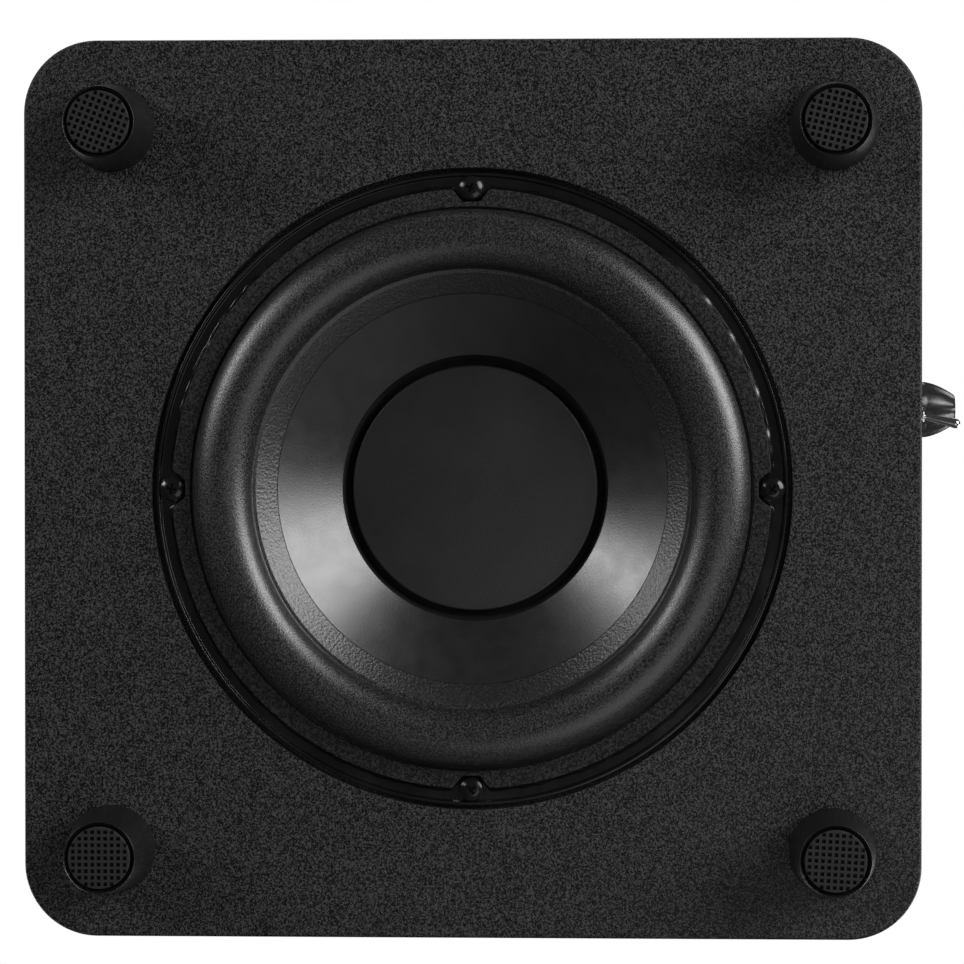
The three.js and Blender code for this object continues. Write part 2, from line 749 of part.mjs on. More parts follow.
// ---------------------------------------------------------------- electronics
// Printed boards stand parallel to the plate, with their tall parts on the side away from it.
function ampBoard() {
  const board = block(-18, 58, BOARD_Y, BOARD_Y + BOARD_THICKNESS, 168, 266);
  const capacitors = [205, 231].map((z) => {
    const can = disc(9, -29, 0.2, MEDIUM_ROUND);
    return facingRear(can, 44, BOARD_Y, z);
  });
  const chip = block(0, 16, BOARD_Y - 5, BOARD_Y + 0.2, 176, 196);
  const socket = block(-12, -2, BOARD_Y - 9, BOARD_Y + 0.2, 176, 186);
  return join(board, ...capacitors, chip, socket);
}

function controlBoard() {
  const board = block(8, 46, BOARD_Y, BOARD_Y + BOARD_THICKNESS, 104, 160);
  const header = block(12, 24, BOARD_Y - 8, BOARD_Y + 0.2, 148, 154);
  return join(board, header);
}

// Laminated core with its winding bobbin, held against the back of the plate.
function transformerBlock() {
  const back = PLATE_BACK_Y - JOINT_GAP;
  const core = block(-58, -4, back - 46, back, 114, 150);
  const bobbin = block(-50, -12, back - 42, back - 4, 104, 160);
  return join(core, bobbin);
}

const CABLE_ROUTE = [
  [80.6, 0, 70.4],
  [92, 6, 74],
  [104, 30, 88],
  [102, 66, 112],
  [70, 96, 150],
  [20, 110, 178],
  [-7, 114, 181],
  [-7, 121.4, 181],
];

add("amp_board", ampBoard(), MATERIALS.circuitBoard);
add("control_board", controlBoard(), MATERIALS.circuitBoard);
add("transformer", transformerBlock(), MATERIALS.transformerCore);
add("speaker_lead", cable(CABLE_ROUTE, 1.8, 30, 6), MATERIALS.cableSleeve);

// ---------------------------------------------------------------- rotary controls
const SHAFT_RADIUS = 3;
const KNOB_BASE = 2;
const KNOB_LENGTH = CONTROL_REACH - SEAL_THICKNESS - PLATE_THICKNESS;

// Heights here are measured outwards from the plate's outer face.
function rotaryPot() {
  const bodyFace = -PLATE_THICKNESS - JOINT_GAP;
  const bodyBack = -13;
  const can = turned([
    [0, bodyBack],
    [8.2, bodyBack],
    [8.2, bodyFace],
    [BUSHING_RADIUS, bodyFace],
    [BUSHING_RADIUS, 1.5],
    [SHAFT_RADIUS + 0.1, 1.5],
    [SHAFT_RADIUS + 0.1, bodyBack + 2],
    [0, bodyBack + 2],
  ], 16);
  const pins = block(-6, 6, -3, 3, -17.2, bodyBack + 0.5);
  return join(can, pins);
}

function rotaryShaft() {
  return disc(SHAFT_RADIUS, -10.6, KNOB_LENGTH - 4, 16);
}

function knob() {
  const bore = SHAFT_RADIUS + JOINT_GAP;
  return turned([
    [bore, KNOB_BASE],
    [9.8, KNOB_BASE],
    [10, KNOB_BASE + 0.4],
    [9.97, 4.3],
    [9.5, 7],
    [8.6, 9.4],
    [6.96, 12.6],
    [5.5, KNOB_LENGTH - 0.5],
    [4.8, KNOB_LENGTH],
    [0, KNOB_LENGTH],
    [0, KNOB_LENGTH - 3.5],
    [bore, KNOB_LENGTH - 3.5],
    [bore, KNOB_BASE],
  ], 16);
}

for (const [label, z] of [["gain", GAIN_Z], ["crossover", CROSSOVER_Z]]) {
  const place = [CONTROL_X, PLATE_FACE_Y, z];
  add(`${label}_pot`, facingRear(rotaryPot(), ...place), MATERIALS.bareSteel);
  add(`${label}_shaft`, facingRear(rotaryShaft(), ...place), MATERIALS.bareSteel);
  add(`${label}_knob`, facingRear(knob(), ...place), MATERIALS.knobPlastic);
}

// ---------------------------------------------------------------- phase toggle switch
const TOGGLE_PIVOT = 1;
const BUSHING_END = 2.75;

function toggleBody() {
  const bodyFace = -PLATE_THICKNESS - JOINT_GAP;
  const housing = block(-4, 4, -6.5, 6.5, -12.5, bodyFace);
  const bushing = disc(TOGGLE_BUSHING_RADIUS, bodyFace - 1, BUSHING_END, SMALL_ROUND);
  const bore = disc(2.2, -2, BUSHING_END + 1, SMALL_ROUND);
  const pins = block(-1.2, 1.2, -5, 5, -17.2, -12);
  return cut(join(housing, bushing, pins), bore);
}

function toggleNut() {
  const hexagon = disc(4.6, 0, 1.9, 6);
  return cut(hexagon, disc(TOGGLE_BUSHING_RADIUS + JOINT_GAP, -1, 3, SMALL_ROUND));
}

// A bat lever that swells from its pivot ball to a round end.
function toggleLever() {
  const ball = 1.8;
  const tip = 1.74;
  const reach = 13.1;
  const pairs = [[0, -ball]];
  for (const degrees of [-60, -30, 0, 30]) {
    const angle = THREE.MathUtils.degToRad(degrees);
    pairs.push([ball * Math.cos(angle), ball * Math.sin(angle)]);
  }
  pairs.push([0.95, 1.7], [0.95, 2.6], [1.5, 8]);
  for (const degrees of [0, 30, 60]) {
    const angle = THREE.MathUtils.degToRad(degrees);
    pairs.push([tip * Math.cos(angle), reach + tip * Math.sin(angle)]);
  }
  pairs.push([0, reach + tip]);
  return turned(pairs, 12);
}

const toggleFace = [TOGGLE_X, PLATE_FACE_Y, TOGGLE_Z];
add("phase_switch_body", facingRear(toggleBody(), ...toggleFace), MATERIALS.chrome);
add("phase_switch_nut", facingRear(toggleNut(), ...toggleFace), MATERIALS.chrome);
const lever = facingRear(toggleLever(), 0, 0, 0);
lever.rotateZ(TOGGLE_TILT);
lever.translate(TOGGLE_X, PLATE_FACE_Y + TOGGLE_PIVOT, TOGGLE_Z);
add("phase_lever", lever, MATERIALS.chrome);

// ---------------------------------------------------------------- sockets, switch and lamp
function phonoJack() {
  const back = -12.5;
  return turned([
    [0, back],
    [4.2, back],
    [4.2, 5.5],
    [3.6, 6],
    [3.3, 6],
    [3.3, 1],
    [2.9, 1],
    [2.9, 5.4],
    [1.6, 5.4],
    [1.6, -4],
    [0, -4],
  ], SMALL_ROUND);
}

// Recessed three pin appliance inlet with two clipped corners.
const INLET_CAVITY = [23.6, 15.8];
const INLET_FLOOR = -15;

function mainsInlet() {
  const [bodyWidth, bodyHeight] = INLET_BODY;
  const [width, height] = [INLET_CAVITY[0] / 2, INLET_CAVITY[1] / 2];
  const clip = 4.5;
  const cavity = new THREE.Shape(points([
    [-width, -height],
    [width, -height],
    [width, height - clip],
    [width - clip, height],
    [-width + clip, height],
    [-width, height - clip],
  ]));
  const body = slab(roundedOutline(bodyWidth, bodyHeight, 1), -18, 0.5, 2);
  const flange = slab(roundedOutline(31, 24, 2.5), 0, 1.8, 3);
  const pins = [
    [-7, 2],
    [7, 2],
    [0, -2],
  ].map(([x, y]) => block(x - 1, x + 1, y - 2, y + 2, INLET_FLOOR - 0.5, -2));
  const shell = cut(join(body, flange), slab(cavity, INLET_FLOOR, 3));
  return join(shell, ...pins);
}

const ROCKER_RADIUS = 8.8;
const ROCKER_PIVOT = -1.8;

function switchFrame() {
  const body = slab(roundedOutline(SWITCH_BODY[0], SWITCH_BODY[1], 0.8), -15, 0.5, 2);
  const flange = slab(roundedOutline(15.4, 22, 1.6), 0, 1.5, 3);
  const well = block(-5.6, 5.6, -9.2, 9.2, -12, 3);
  return cut(join(body, flange), well);
}

// The rocker's ends follow an arc about its pivot, so it swings inside the frame.
function rocker() {
  const shape = new THREE.Shape();
  const outer = Math.asin(5.1 / ROCKER_RADIUS);
  const inner = Math.asin(3 / ROCKER_RADIUS);
  shape.moveTo(ROCKER_RADIUS * Math.cos(inner), -ROCKER_RADIUS * Math.sin(inner));
  shape.absarc(0, 0, ROCKER_RADIUS, -inner, outer, false);
  shape.lineTo(0, 4.1);
  shape.lineTo(-ROCKER_RADIUS * Math.cos(outer), ROCKER_RADIUS * Math.sin(outer));
  shape.absarc(0, 0, ROCKER_RADIUS, Math.PI - outer, Math.PI + inner, false);
  const geometry = slab(shape, -5.1, 5.1, 5);
  geometry.rotateX(Math.PI / 2);
  geometry.rotateZ(Math.PI / 2);
  return geometry;
}

function statusLamp() {
  return turned([
    [0, -10],
    [2.5, -10],
    [2.5, 0.4],
    [1.7, 1.2],
    [0, 1.5],
  ], SMALL_ROUND);
}

const [leftJackZ, rightJackZ] = JACK_LEVELS;
const jackFace = (z) => [JACK_X, PLATE_FACE_Y, z];
add("input_jack_left", facingRear(phonoJack(), ...jackFace(leftJackZ)), MATERIALS.chrome);
add("input_jack_right", facingRear(phonoJack(), ...jackFace(rightJackZ)), MATERIALS.chrome);
const inletFace = [INLET_X, PLATE_FACE_Y, INLET_Z];
add("mains_inlet", facingRear(mainsInlet(), ...inletFace), MATERIALS.switchPlastic);
const switchFace = [SWITCH_X, PLATE_FACE_Y, SWITCH_Z];
add("power_switch_frame", facingRear(switchFrame(), ...switchFace), MATERIALS.switchPlastic);
const rockerBody = rocker();
rockerBody.rotateX(SWITCH_TILT);
rockerBody.translate(SWITCH_X, PLATE_FACE_Y + ROCKER_PIVOT, SWITCH_Z);
add("power_rocker", rockerBody, MATERIALS.switchPlastic);
const lampFace = [CONTROL_X, PLATE_FACE_Y, LED_Z];
add("status_lamp", facingRear(statusLamp(), ...lampFace), MATERIALS.lens);

// The origin is under the middle of the whole object, controls included.
subwoofer.position.set(0, -CONTROL_REACH / 2, 0);

export default subwoofer;
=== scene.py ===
"""Powered down-firing subwoofer: fine meshes, materials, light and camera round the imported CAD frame.
Metres, +Z up. The cabinet stands on its feet at z = 0, its front faces -Y and its rear panel faces +Y."""
import json
import math

import bmesh
import bpy
from mathutils import Matrix, Vector


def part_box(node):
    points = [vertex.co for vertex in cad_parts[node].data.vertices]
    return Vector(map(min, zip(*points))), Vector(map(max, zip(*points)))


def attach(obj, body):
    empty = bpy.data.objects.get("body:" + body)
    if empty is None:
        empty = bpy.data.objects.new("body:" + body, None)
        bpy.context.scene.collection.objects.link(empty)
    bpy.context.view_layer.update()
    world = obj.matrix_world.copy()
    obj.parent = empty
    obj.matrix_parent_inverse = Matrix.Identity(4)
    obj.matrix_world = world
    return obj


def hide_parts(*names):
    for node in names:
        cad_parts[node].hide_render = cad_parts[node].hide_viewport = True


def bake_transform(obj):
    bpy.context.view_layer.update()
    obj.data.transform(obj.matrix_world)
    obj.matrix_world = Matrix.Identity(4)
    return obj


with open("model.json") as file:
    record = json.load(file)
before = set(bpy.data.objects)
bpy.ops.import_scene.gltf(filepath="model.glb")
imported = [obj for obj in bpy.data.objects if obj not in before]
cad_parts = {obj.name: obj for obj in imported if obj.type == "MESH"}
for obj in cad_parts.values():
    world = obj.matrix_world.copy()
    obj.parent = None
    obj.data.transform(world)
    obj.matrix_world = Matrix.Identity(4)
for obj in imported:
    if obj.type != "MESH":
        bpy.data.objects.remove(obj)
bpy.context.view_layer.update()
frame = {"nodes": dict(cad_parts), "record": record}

MM = 0.001
TURN = math.tau


# ---------------------------------------------------------------- sizes taken from the frame
def middle(node):
    low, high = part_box(node)
    return (low + high) / 2


def radius_of(node):
    low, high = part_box(node)
    return (high.x - low.x) / 2


def levels_of(node):
    low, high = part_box(node)
    return low.z, high.z


BAFFLE_LOW, BAFFLE_HIGH = levels_of("bottom_baffle")
TOP_LOW, TOP_HIGH = levels_of("top_panel")
CABINET = Vector((middle("bottom_baffle").x, middle("bottom_baffle").y, 0))
HALF = radius_of("bottom_baffle")
CORNER = 24 * MM
WALL = 15 * MM
FLANGE_LOW = levels_of("basket")[0]
FLANGE_RADIUS = radius_of("basket")
PLATE_LOW, PLATE_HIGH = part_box("amp_plate")
PLATE_FACE = PLATE_HIGH.y
SCREW_CIRCLE = middle("driver_screw_right").x - CABINET.x
FEET = ["front_left", "front_right", "rear_left", "rear_right"]
DRIVER_SCREWS = {
    side: CABINET + SCREW_CIRCLE * Vector(way)
    for side, way in [("right", (1, 0, 0)), ("rear", (0, 1, 0)), ("left", (-1, 0, 0)), ("front", (0, -1, 0))]
}
PLATE_CORNERS = ["lower_left", "lower_right", "upper_left", "upper_right"]
STANDING_OUT = Matrix.Rotation(-math.pi / 2, 4, "X")


# ---------------------------------------------------------------- materials
def add_node(tree, kind, **inputs):
    made = tree.nodes.new(kind)
    for name, value in inputs.items():
        made.inputs[name.replace("_", " ")].default_value = value
    return made


class Finish:
    """A Principled material, with short calls that add procedural detail to it."""

    def __init__(self, name, color, roughness, metallic=0.0, **sockets):
        self.material = bpy.data.materials.new(name)
        self.material.use_nodes = True
        self.tree = self.material.node_tree
        self.shader = self.tree.nodes["Principled BSDF"]
        self.color = color if isinstance(color, tuple) else (color, color, color)
        self.last_normal = None
        self.shader.inputs["Base Color"].default_value = (*self.color, 1)
        self.shader.inputs["Roughness"].default_value = roughness
        self.shader.inputs["Metallic"].default_value = metallic
        for socket, value in sockets.items():
            self.shader.inputs[socket.replace("_", " ")].default_value = value
        self.place = add_node(self.tree, "ShaderNodeTexCoord").outputs["Object"]

    def join(self, output, socket):
        self.tree.links.new(output, socket)

    def noise(self, per_metre, detail=2.0, roughness=0.5, stretch=(1, 1, 1)):
        mapping = add_node(self.tree, "ShaderNodeMapping", Scale=stretch)
        made = add_node(self.tree, "ShaderNodeTexNoise", Scale=per_metre, Detail=detail, Roughness=roughness)
        self.join(self.place, mapping.inputs["Vector"])
        self.join(mapping.outputs["Vector"], made.inputs["Vector"])
        return made.outputs["Fac"]

    def cells(self, per_metre):
        made = add_node(self.tree, "ShaderNodeTexVoronoi", Scale=per_metre)
        self.join(self.place, made.inputs["Vector"])
        return made.outputs["Distance"]

    def bands(self, per_metre, axis, distortion=0.0):
        made = add_node(self.tree, "ShaderNodeTexWave", Scale=per_metre, Distortion=distortion)
        made.bands_direction = axis
        self.join(self.place, made.inputs["Vector"])
        return made.outputs["Fac"]

    def times(self, first, second):
        made = self.tree.nodes.new("ShaderNodeMath")
        made.operation = "MULTIPLY"
        self.join(first, made.inputs[0])
        self.join(second, made.inputs[1])
        return made.outputs["Value"]

    def tint(self, source, dark, light, from_low=0.3, from_high=0.7):
        """Colour from one shade to another as the source rises."""
        ramp = self.tree.nodes.new("ShaderNodeValToRGB")
        low, high = ramp.color_ramp.elements
        low.position, high.position = from_low, from_high
        low.color = (*[c * dark for c in self.color], 1)
        high.color = (*[min(1, c * light) for c in self.color], 1)
        self.join(source, ramp.inputs["Fac"])
        self.join(ramp.outputs["Color"], self.shader.inputs["Base Color"])

    def gloss(self, source, low, high, from_low=0.3, from_high=0.7):
        """Roughness from low to high as the source rises."""
        settings = {"From_Min": from_low, "From_Max": from_high, "To_Min": low, "To_Max": high}
        made = add_node(self.tree, "ShaderNodeMapRange", **settings)
        self.join(source, made.inputs["Value"])
        self.join(made.outputs["Result"], self.shader.inputs["Roughness"])

    def relief(self, source, depth, strength=1.0):
        """A bump of this depth in millimetres, on top of the bumps added before."""
        bump = add_node(self.tree, "ShaderNodeBump", Strength=strength, Distance=depth * MM)
        self.join(source, bump.inputs["Height"])
        if self.last_normal:
            self.join(self.last_normal, bump.inputs["Normal"])
        self.last_normal = bump.outputs["Normal"]
        self.join(self.last_normal, self.shader.inputs["Normal"])


def layered(name, color, roughness, noises, tint, gloss, relief, metallic=0.0, **sockets):
    """A material from named noises, each given as the arguments of Finish.noise.
    tint and gloss are (noise name, ranges), relief is {noise name: depth in millimetres}."""
    made = Finish(name, color, roughness, metallic, **sockets)
    source = {label: made.noise(*settings) for label, settings in noises.items()}
    made.tint(source[tint[0]], *tint[1:])
    made.gloss(source[gloss[0]], *gloss[1:])
    for label, depth in relief.items():
        made.relief(source[label], depth)
    return made.material


def grained(name, color, roughness, per_metre, depth, metallic=0.0, mottle=0.25):
    """Moulded or sprayed surface: fine grain, slow mottling and uneven gloss."""
    noises = {"grain": (per_metre, 3.0, 0.6), "cloud": (per_metre / 60 + 20, 3.0)}
    gloss = ("grain", max(0.03, roughness - 0.08), min(1, roughness + 0.08))
    tint = ("cloud", 1 - mottle, 1 + mottle)
    return layered(name, color, roughness, noises, tint, gloss, {"grain": depth}, metallic)


def bright_metal(name, color, roughness, brushing=(1, 1, 1)):
    noises = {"lines": (1400, 4.0, 0.6, brushing), "smear": (90, 3.0)}
    gloss = ("lines", roughness * 0.7, roughness * 1.5)
    return layered(name, color, roughness, noises, ("smear", 0.88, 1.06), gloss, {"lines": 0.004}, 1.0)


def windings(name, color, per_metre, axis):
    """Fine parallel wires or laminations, stacked along one axis."""
    made = Finish(name, color, 0.38, 0.7)
    bands = made.bands(per_metre, axis, 0.4)
    made.tint(bands, 0.45, 1.1, 0.1, 0.9)
    made.gloss(made.noise(400, 3.0), 0.3, 0.5)
    made.relief(bands, 0.08)
    return made.material


def glue_skin():
    made = Finish("glue_skin", 0.009, 0.36, Specular_IOR_Level=0.75)
    blister = made.cells(950)
    grain = made.noise(1400, 3.0, 0.7)
    made.tint(grain, 0.4, 1.9, 0.35, 0.65)
    made.gloss(grain, 0.3, 0.42)
    made.relief(blister, 0.1, 0.8)
    made.relief(grain, 0.12)
    return made.material


def woven_cloth():
    made = Finish("spider_cloth", (0.4, 0.25, 0.09), 0.8)
    weave = made.times(made.bands(260, "X"), made.bands(260, "Y"))
    made.tint(weave, 0.55, 1.2, 0.0, 0.8)
    made.gloss(made.noise(300, 3.0), 0.7, 0.9)
    made.relief(weave, 0.15)
    return made.material


def circuit_mask():
    made = Finish("solder_mask", (0.015, 0.1, 0.035), 0.35)
    tracks = made.cells(160)
    made.tint(tracks, 0.6, 1.4, 0.2, 0.5)
    made.gloss(made.noise(220, 3.0), 0.28, 0.45)
    made.relief(tracks, 0.03)
    return made.material


MATERIALS = {
    "cabinet_wrap": layered(
        "black_wrap", 0.0132, 0.5, {"pebble": (1900, 2.0, 0.6), "dimple": (900, 2.0)},
        ("pebble", 0.02, 4.6, 0.44, 0.64), ("pebble", 0.4, 0.62, 0.42, 0.66),
        {"pebble": 0.16, "dimple": 0.1}, Specular_IOR_Level=0.25),
    "wadding": layered(
        "polyester_fibre", (0.7, 0.69, 0.66), 0.95, {"strands": (420, 6.0, 0.75, (1, 0.35, 1.6))},
        ("strands", 0.7, 1.15), ("strands", 0.88, 1.0), {"strands": 0.8}, Sheen_Weight=0.4),
    "foot_plastic": layered(
        "foot_plastic", 0.0045, 0.4, {"flow": (120, 3.0), "scuff": (900, 4.0, 0.7, (1, 1, 0.12))},
        ("flow", 0.8, 1.25), ("scuff", 0.28, 0.46), {"scuff": 0.012}),
    "pad_rubber": layered(
        "pad_rubber", 0.005, 0.75, {"dust": (500, 4.0, 0.65), "grain": (2600, 2.0)},
        ("dust", 0.7, 1.5), ("dust", 0.66, 0.86), {"grain": 0.04}),
    "zinc_screw": bright_metal("zinc_plate", (0.5, 0.5, 0.48), 0.34),
    "black_screw": grained("black_oxide", 0.012, 0.16, 900, 0.006, 0.4),
    "foam_seal": grained("closed_foam", 0.02, 0.9, 1300, 0.2),
    "basket_steel": layered(
        "gloss_black_paint", 0.003, 0.16, {"peel": (420, 2.0), "haze": (60, 4.0, 0.6)},
        ("haze", 0.8, 1.4), ("haze", 0.12, 0.3), {"peel": 0.012}, Coat_Weight=0.35, Coat_Roughness=0.06),
    "trim_fibre": layered(
        "trim_fibre", 0.0105, 0.62, {"fibre": (1500, 3.0, 0.7)},
        ("fibre", 0.05, 3.4, 0.43, 0.63), ("fibre", 0.5, 0.72, 0.42, 0.63),
        {"fibre": 0.2}, Specular_IOR_Level=0.2),
    "surround_rubber": layered(
        "surround_rubber", 0.013, 0.33, {"grain": (1900, 2.0, 0.6)},
        ("grain", 0.1, 2.8, 0.42, 0.65), ("grain", 0.28, 0.44, 0.41, 0.66),
        {"grain": 0.09}, Specular_IOR_Level=0.7),
    "spider_cloth": woven_cloth(),
    "plain_steel": bright_metal("plated_steel", (0.46, 0.46, 0.47), 0.32, (1, 1, 0.2)),
    "ferrite": grained("ferrite", (0.045, 0.044, 0.043), 0.7, 700, 0.08, 0.1),
    "phenolic": grained("phenolic", (0.11, 0.05, 0.02), 0.5, 500, 0.03),
    "copper_braid": windings("copper_braid", (0.6, 0.27, 0.1), 900, "X"),
    "cone_polymer": layered(
        "cone_polymer", 0.009, 0.33, {"flow": (160, 3.0, 0.55), "grain": (1800, 2.0)},
        ("flow", 0.85, 1.2), ("flow", 0.31, 0.36), {"grain": 0.035}, Specular_IOR_Level=0.9),
    "cap_polymer": layered(
        "cap_polymer", 0.0145, 0.42, {"flow": (60, 3.0, 0.55), "grain": (1800, 2.0)},
        ("grain", 0.85, 1.2), ("flow", 0.38, 0.46), {"grain": 0.035}),
    "former_foil": bright_metal("former_foil", (0.62, 0.62, 0.63), 0.3, (1, 1, 0.1)),
    "copper_winding": windings("copper_winding", (0.62, 0.24, 0.08), 1300, "Z"),
    "plate_steel": grained("powder_coat", 0.016, 0.5, 1500, 0.09),
    "circuit_board": circuit_mask(),
    "transformer_iron": windings("laminations", (0.16, 0.155, 0.145), 450, "Y"),
    "cable_sleeve": grained("cable_sleeve", (0.3, 0.015, 0.012), 0.42, 900, 0.03),
    "knob_plastic": grained("knob_plastic", (0.014, 0.014, 0.015), 0.33, 700, 0.006),
    "switch_chrome": bright_metal("switch_chrome", (0.5, 0.5, 0.51), 0.16),
    "jack_metal": bright_metal("jack_nickel", (0.72, 0.71, 0.68), 0.18),
    "switch_plastic": grained("switch_plastic", 0.013, 0.38, 1200, 0.03),
    "lamp_lens": grained("lamp_lens", (0.03, 0.16, 0.62), 0.12, 500, 0.005),
}
GLUE_SKIN = glue_skin()
WHITE_INK = grained("white_ink", (0.72, 0.72, 0.7), 0.55, 1800, 0.01, mottle=0.08)
WHITE_INSERT = grained("white_insert", (0.75, 0.74, 0.7), 0.35, 800, 0.01, mottle=0.06)
RED_INSERT = grained("red_insert", (0.55, 0.02, 0.015), 0.35, 800, 0.01, mottle=0.1)
CONTACT_METAL = bright_metal("contact_metal", (0.78, 0.72, 0.55), 0.22)


# ---------------------------------------------------------------- mesh tools
def spaced(first, last, steps):
    return [first + (last - first) * k / steps for k in range(steps + 1)]


def on_circle(radius, angles, x=0.0, y=0.0):
    return [(x + radius * math.cos(angle), y + radius * math.sin(angle)) for angle in angles]


def in_mm(corners):
    """Millimetre points in metres."""
    return [tuple(value * MM for value in corner) for corner in corners]


def rounded(corners, steps=5):
    """A closed section of (radius, height, fillet) corners, with the fillets as arcs."""
    section = []
    for i, corner in enumerate(corners):
        here = Vector(corner[:2])
        fillet = corner[2] if len(corner) > 2 else 0
        if not fillet:
            section.append(here)
            continue
        back = (Vector(corners[i - 1][:2]) - here).normalized()
        ahead = (Vector(corners[(i + 1) % len(corners)][:2]) - here).normalized()
        half = back.angle(ahead) / 2
        centre = here + (back + ahead).normalized() * fillet / math.sin(half)
        first = here + back * fillet / math.tan(half) - centre
        last = here + ahead * fillet / math.tan(half) - centre
        start = math.atan2(first.y, first.x)
        sweep = (math.atan2(last.y, last.x) - start + math.pi) % TURN - math.pi
        section += on_circle(fillet, spaced(start, start + sweep, steps), *centre)
    return section


def rounded_mm(corners, steps=5):
    return rounded(in_mm(corners), steps)


def placed(name, data):
    made = bpy.data.objects.new(name, data)
    bpy.context.scene.collection.objects.link(made)
    return made


def shade(mesh, sharp=32):
    mesh.shade_smooth()
    mesh.set_sharp_from_angle(angle=math.radians(sharp))


def smooth_object(name, mesh, material=None, sharp=32):
    shade(mesh, sharp)
    if material:
        mesh.materials.append(material)
    return placed(name, mesh)


def object_from(name, mesh_data, material, sharp=32):
    bmesh.ops.remove_doubles(mesh_data, verts=mesh_data.verts, dist=1e-7)
    bmesh.ops.recalc_face_normals(mesh_data, faces=mesh_data.faces)
    mesh = bpy.data.meshes.new(name)
    mesh_data.to_mesh(mesh)
    mesh_data.free()
    return smooth_object(name, mesh, material, sharp)


def lofted(name, loops, material, ring=True, sharp=32):
    """Skins closed loops of equal length. A ring joins its last loop to its first, others get flat ends."""
    data = bmesh.new()
    rows = [[data.verts.new(p) for p in loop] for loop in loops]
    count = len(rows[0])
    for low, high in zip(rows, rows[1:] + rows[:1] if ring else rows[1:]):
        for j in range(count):
            k = (j + 1) % count
            data.faces.new((low[j], low[k], high[k], high[j]))
    if not ring:
        data.faces.new(rows[0][::-1])
        data.faces.new(rows[-1])
    return object_from(name, data, material, sharp)


def turned(name, section, material, segments=96, shape=None, sharp=32):
    """Turns a closed section about Z. shape(angle, radius, height) may change each point's radius."""
    data = bmesh.new()
    rows = []
    for radius, height in section:
        if radius < 1e-7:
            rows.append([data.verts.new((0, 0, height))] * segments)
            continue
        row = []
        for j in range(segments):
            angle = TURN * j / segments
            reach = shape(angle, radius, height) if shape else radius
            row.append(data.verts.new((reach * math.cos(angle), reach * math.sin(angle), height)))
        rows.append(row)
    for low, high in zip(rows, rows[1:] + rows[:1]):
        for j in range(segments):
            k = (j + 1) % segments
            corners = list(dict.fromkeys((low[j], low[k], high[k], high[j])))
            if len(corners) > 2:
                data.faces.new(corners)
    return object_from(name, data, material, sharp)


def box_mesh(name, low, high, material=None, bevel=0.0, taper=1.0):
    """A box between two corners in millimetres, with rounded edges and its +Z end scaled by taper."""
    low, high = Vector(low) * MM, Vector(high) * MM
    data = bmesh.new()
    bmesh.ops.create_cube(data, size=1)
    for vertex in data.verts:
        share = taper if vertex.co.z > 0 else 1
        vertex.co = vertex.co * Vector((share, share, 1)) * (high - low) + (low + high) / 2
    if bevel:
        edges = data.edges[:]
        bmesh.ops.bevel(data, geom=edges, offset=bevel * MM, segments=3, profile=0.5, affect="EDGES")
    return object_from(name, data, material)


def rod(radius, low, high):
    return turned("rod", [(0, low), (radius, low), (radius, high), (0, high)], None, 32)


def shift(made, matrix):
    made.data.transform(matrix)
    return made


def at(place, turn=0.0):
    return Matrix.Translation(place) @ Matrix.Rotation(turn, 4, "Z")


def evaluated_mesh(made):
    return bpy.data.meshes.new_from_object(made.evaluated_get(bpy.context.evaluated_depsgraph_get()))


def carve(target, *cutters):
    for cutter in cutters:
        cut = target.modifiers.new("cut", "BOOLEAN")
        cut.operation = "DIFFERENCE"
        cut.solver = "EXACT"
        cut.object = cutter
    mesh = evaluated_mesh(target)
    target.modifiers.clear()
    target.data = mesh
    shade(mesh)
    for cutter in cutters:
        bpy.data.objects.remove(cutter)
    return target


def merged(name, pieces):
    """Joins closed pieces into one object and keeps each piece's material."""
    data = bmesh.new()
    materials = []
    for piece in pieces:
        first_face = len(data.faces)
        data.from_mesh(piece.data)
        data.faces.ensure_lookup_table()
        material = piece.data.materials[0]
        if material not in materials:
            materials.append(material)
        for face in data.faces[first_face:]:
            face.material_index = materials.index(material)
        bpy.data.objects.remove(piece)
    mesh = bpy.data.meshes.new(name)
    data.to_mesh(mesh)
    data.free()
    for material in materials:
        mesh.materials.append(material)
    return smooth_object(name, mesh)


def copy_of(source, name):
    return placed(name, source.data.copy())


def finish_piece(made, slot, *nodes, body="cabinet"):
    """Lets the large flat faces set the shading at their edges, then hands the piece to the frame."""
    made.modifiers.new("normals", "WEIGHTED_NORMAL").keep_sharp = True
    made.data = evaluated_mesh(made)
    made.modifiers.clear()
    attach(made, body)
    if nodes:
        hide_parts(*nodes)


def curve_mesh(name, curve):
    holder = placed(name, curve)
    mesh = evaluated_mesh(holder)
    bpy.data.objects.remove(holder)
    return mesh


def flat_plate(name, outline, holes, thickness, material, edge=0.3):
    """A plate with round edges, extruded from closed outlines in XY up to z = thickness, in millimetres."""
    curve = bpy.data.curves.new(name, "CURVE")
    curve.dimensions = "2D"
    curve.fill_mode = "BOTH"
    curve.bevel_depth = edge * MM
    curve.bevel_resolution = 2
    curve.offset = -edge * MM
    curve.extrude = (thickness / 2 - edge) * MM
    for path in [outline, *holes]:
        spline = curve.splines.new("POLY")
        spline.points.add(len(path) - 1)
        for point, (x, y) in zip(spline.points, path):
            point.co = (x * MM, y * MM, 0, 1)
        spline.use_cyclic_u = True
    data = bmesh.new()
    data.from_mesh(curve_mesh(name, curve))
    bmesh.ops.remove_doubles(data, verts=data.verts, dist=1e-6)
    bmesh.ops.translate(data, verts=data.verts, vec=(0, 0, thickness / 2 * MM))
    return object_from(name, data, material)


def circle_path(radius, x=0.0, y=0.0):
    return on_circle(radius, spaced(0, TURN, 64)[:-1], x, y)


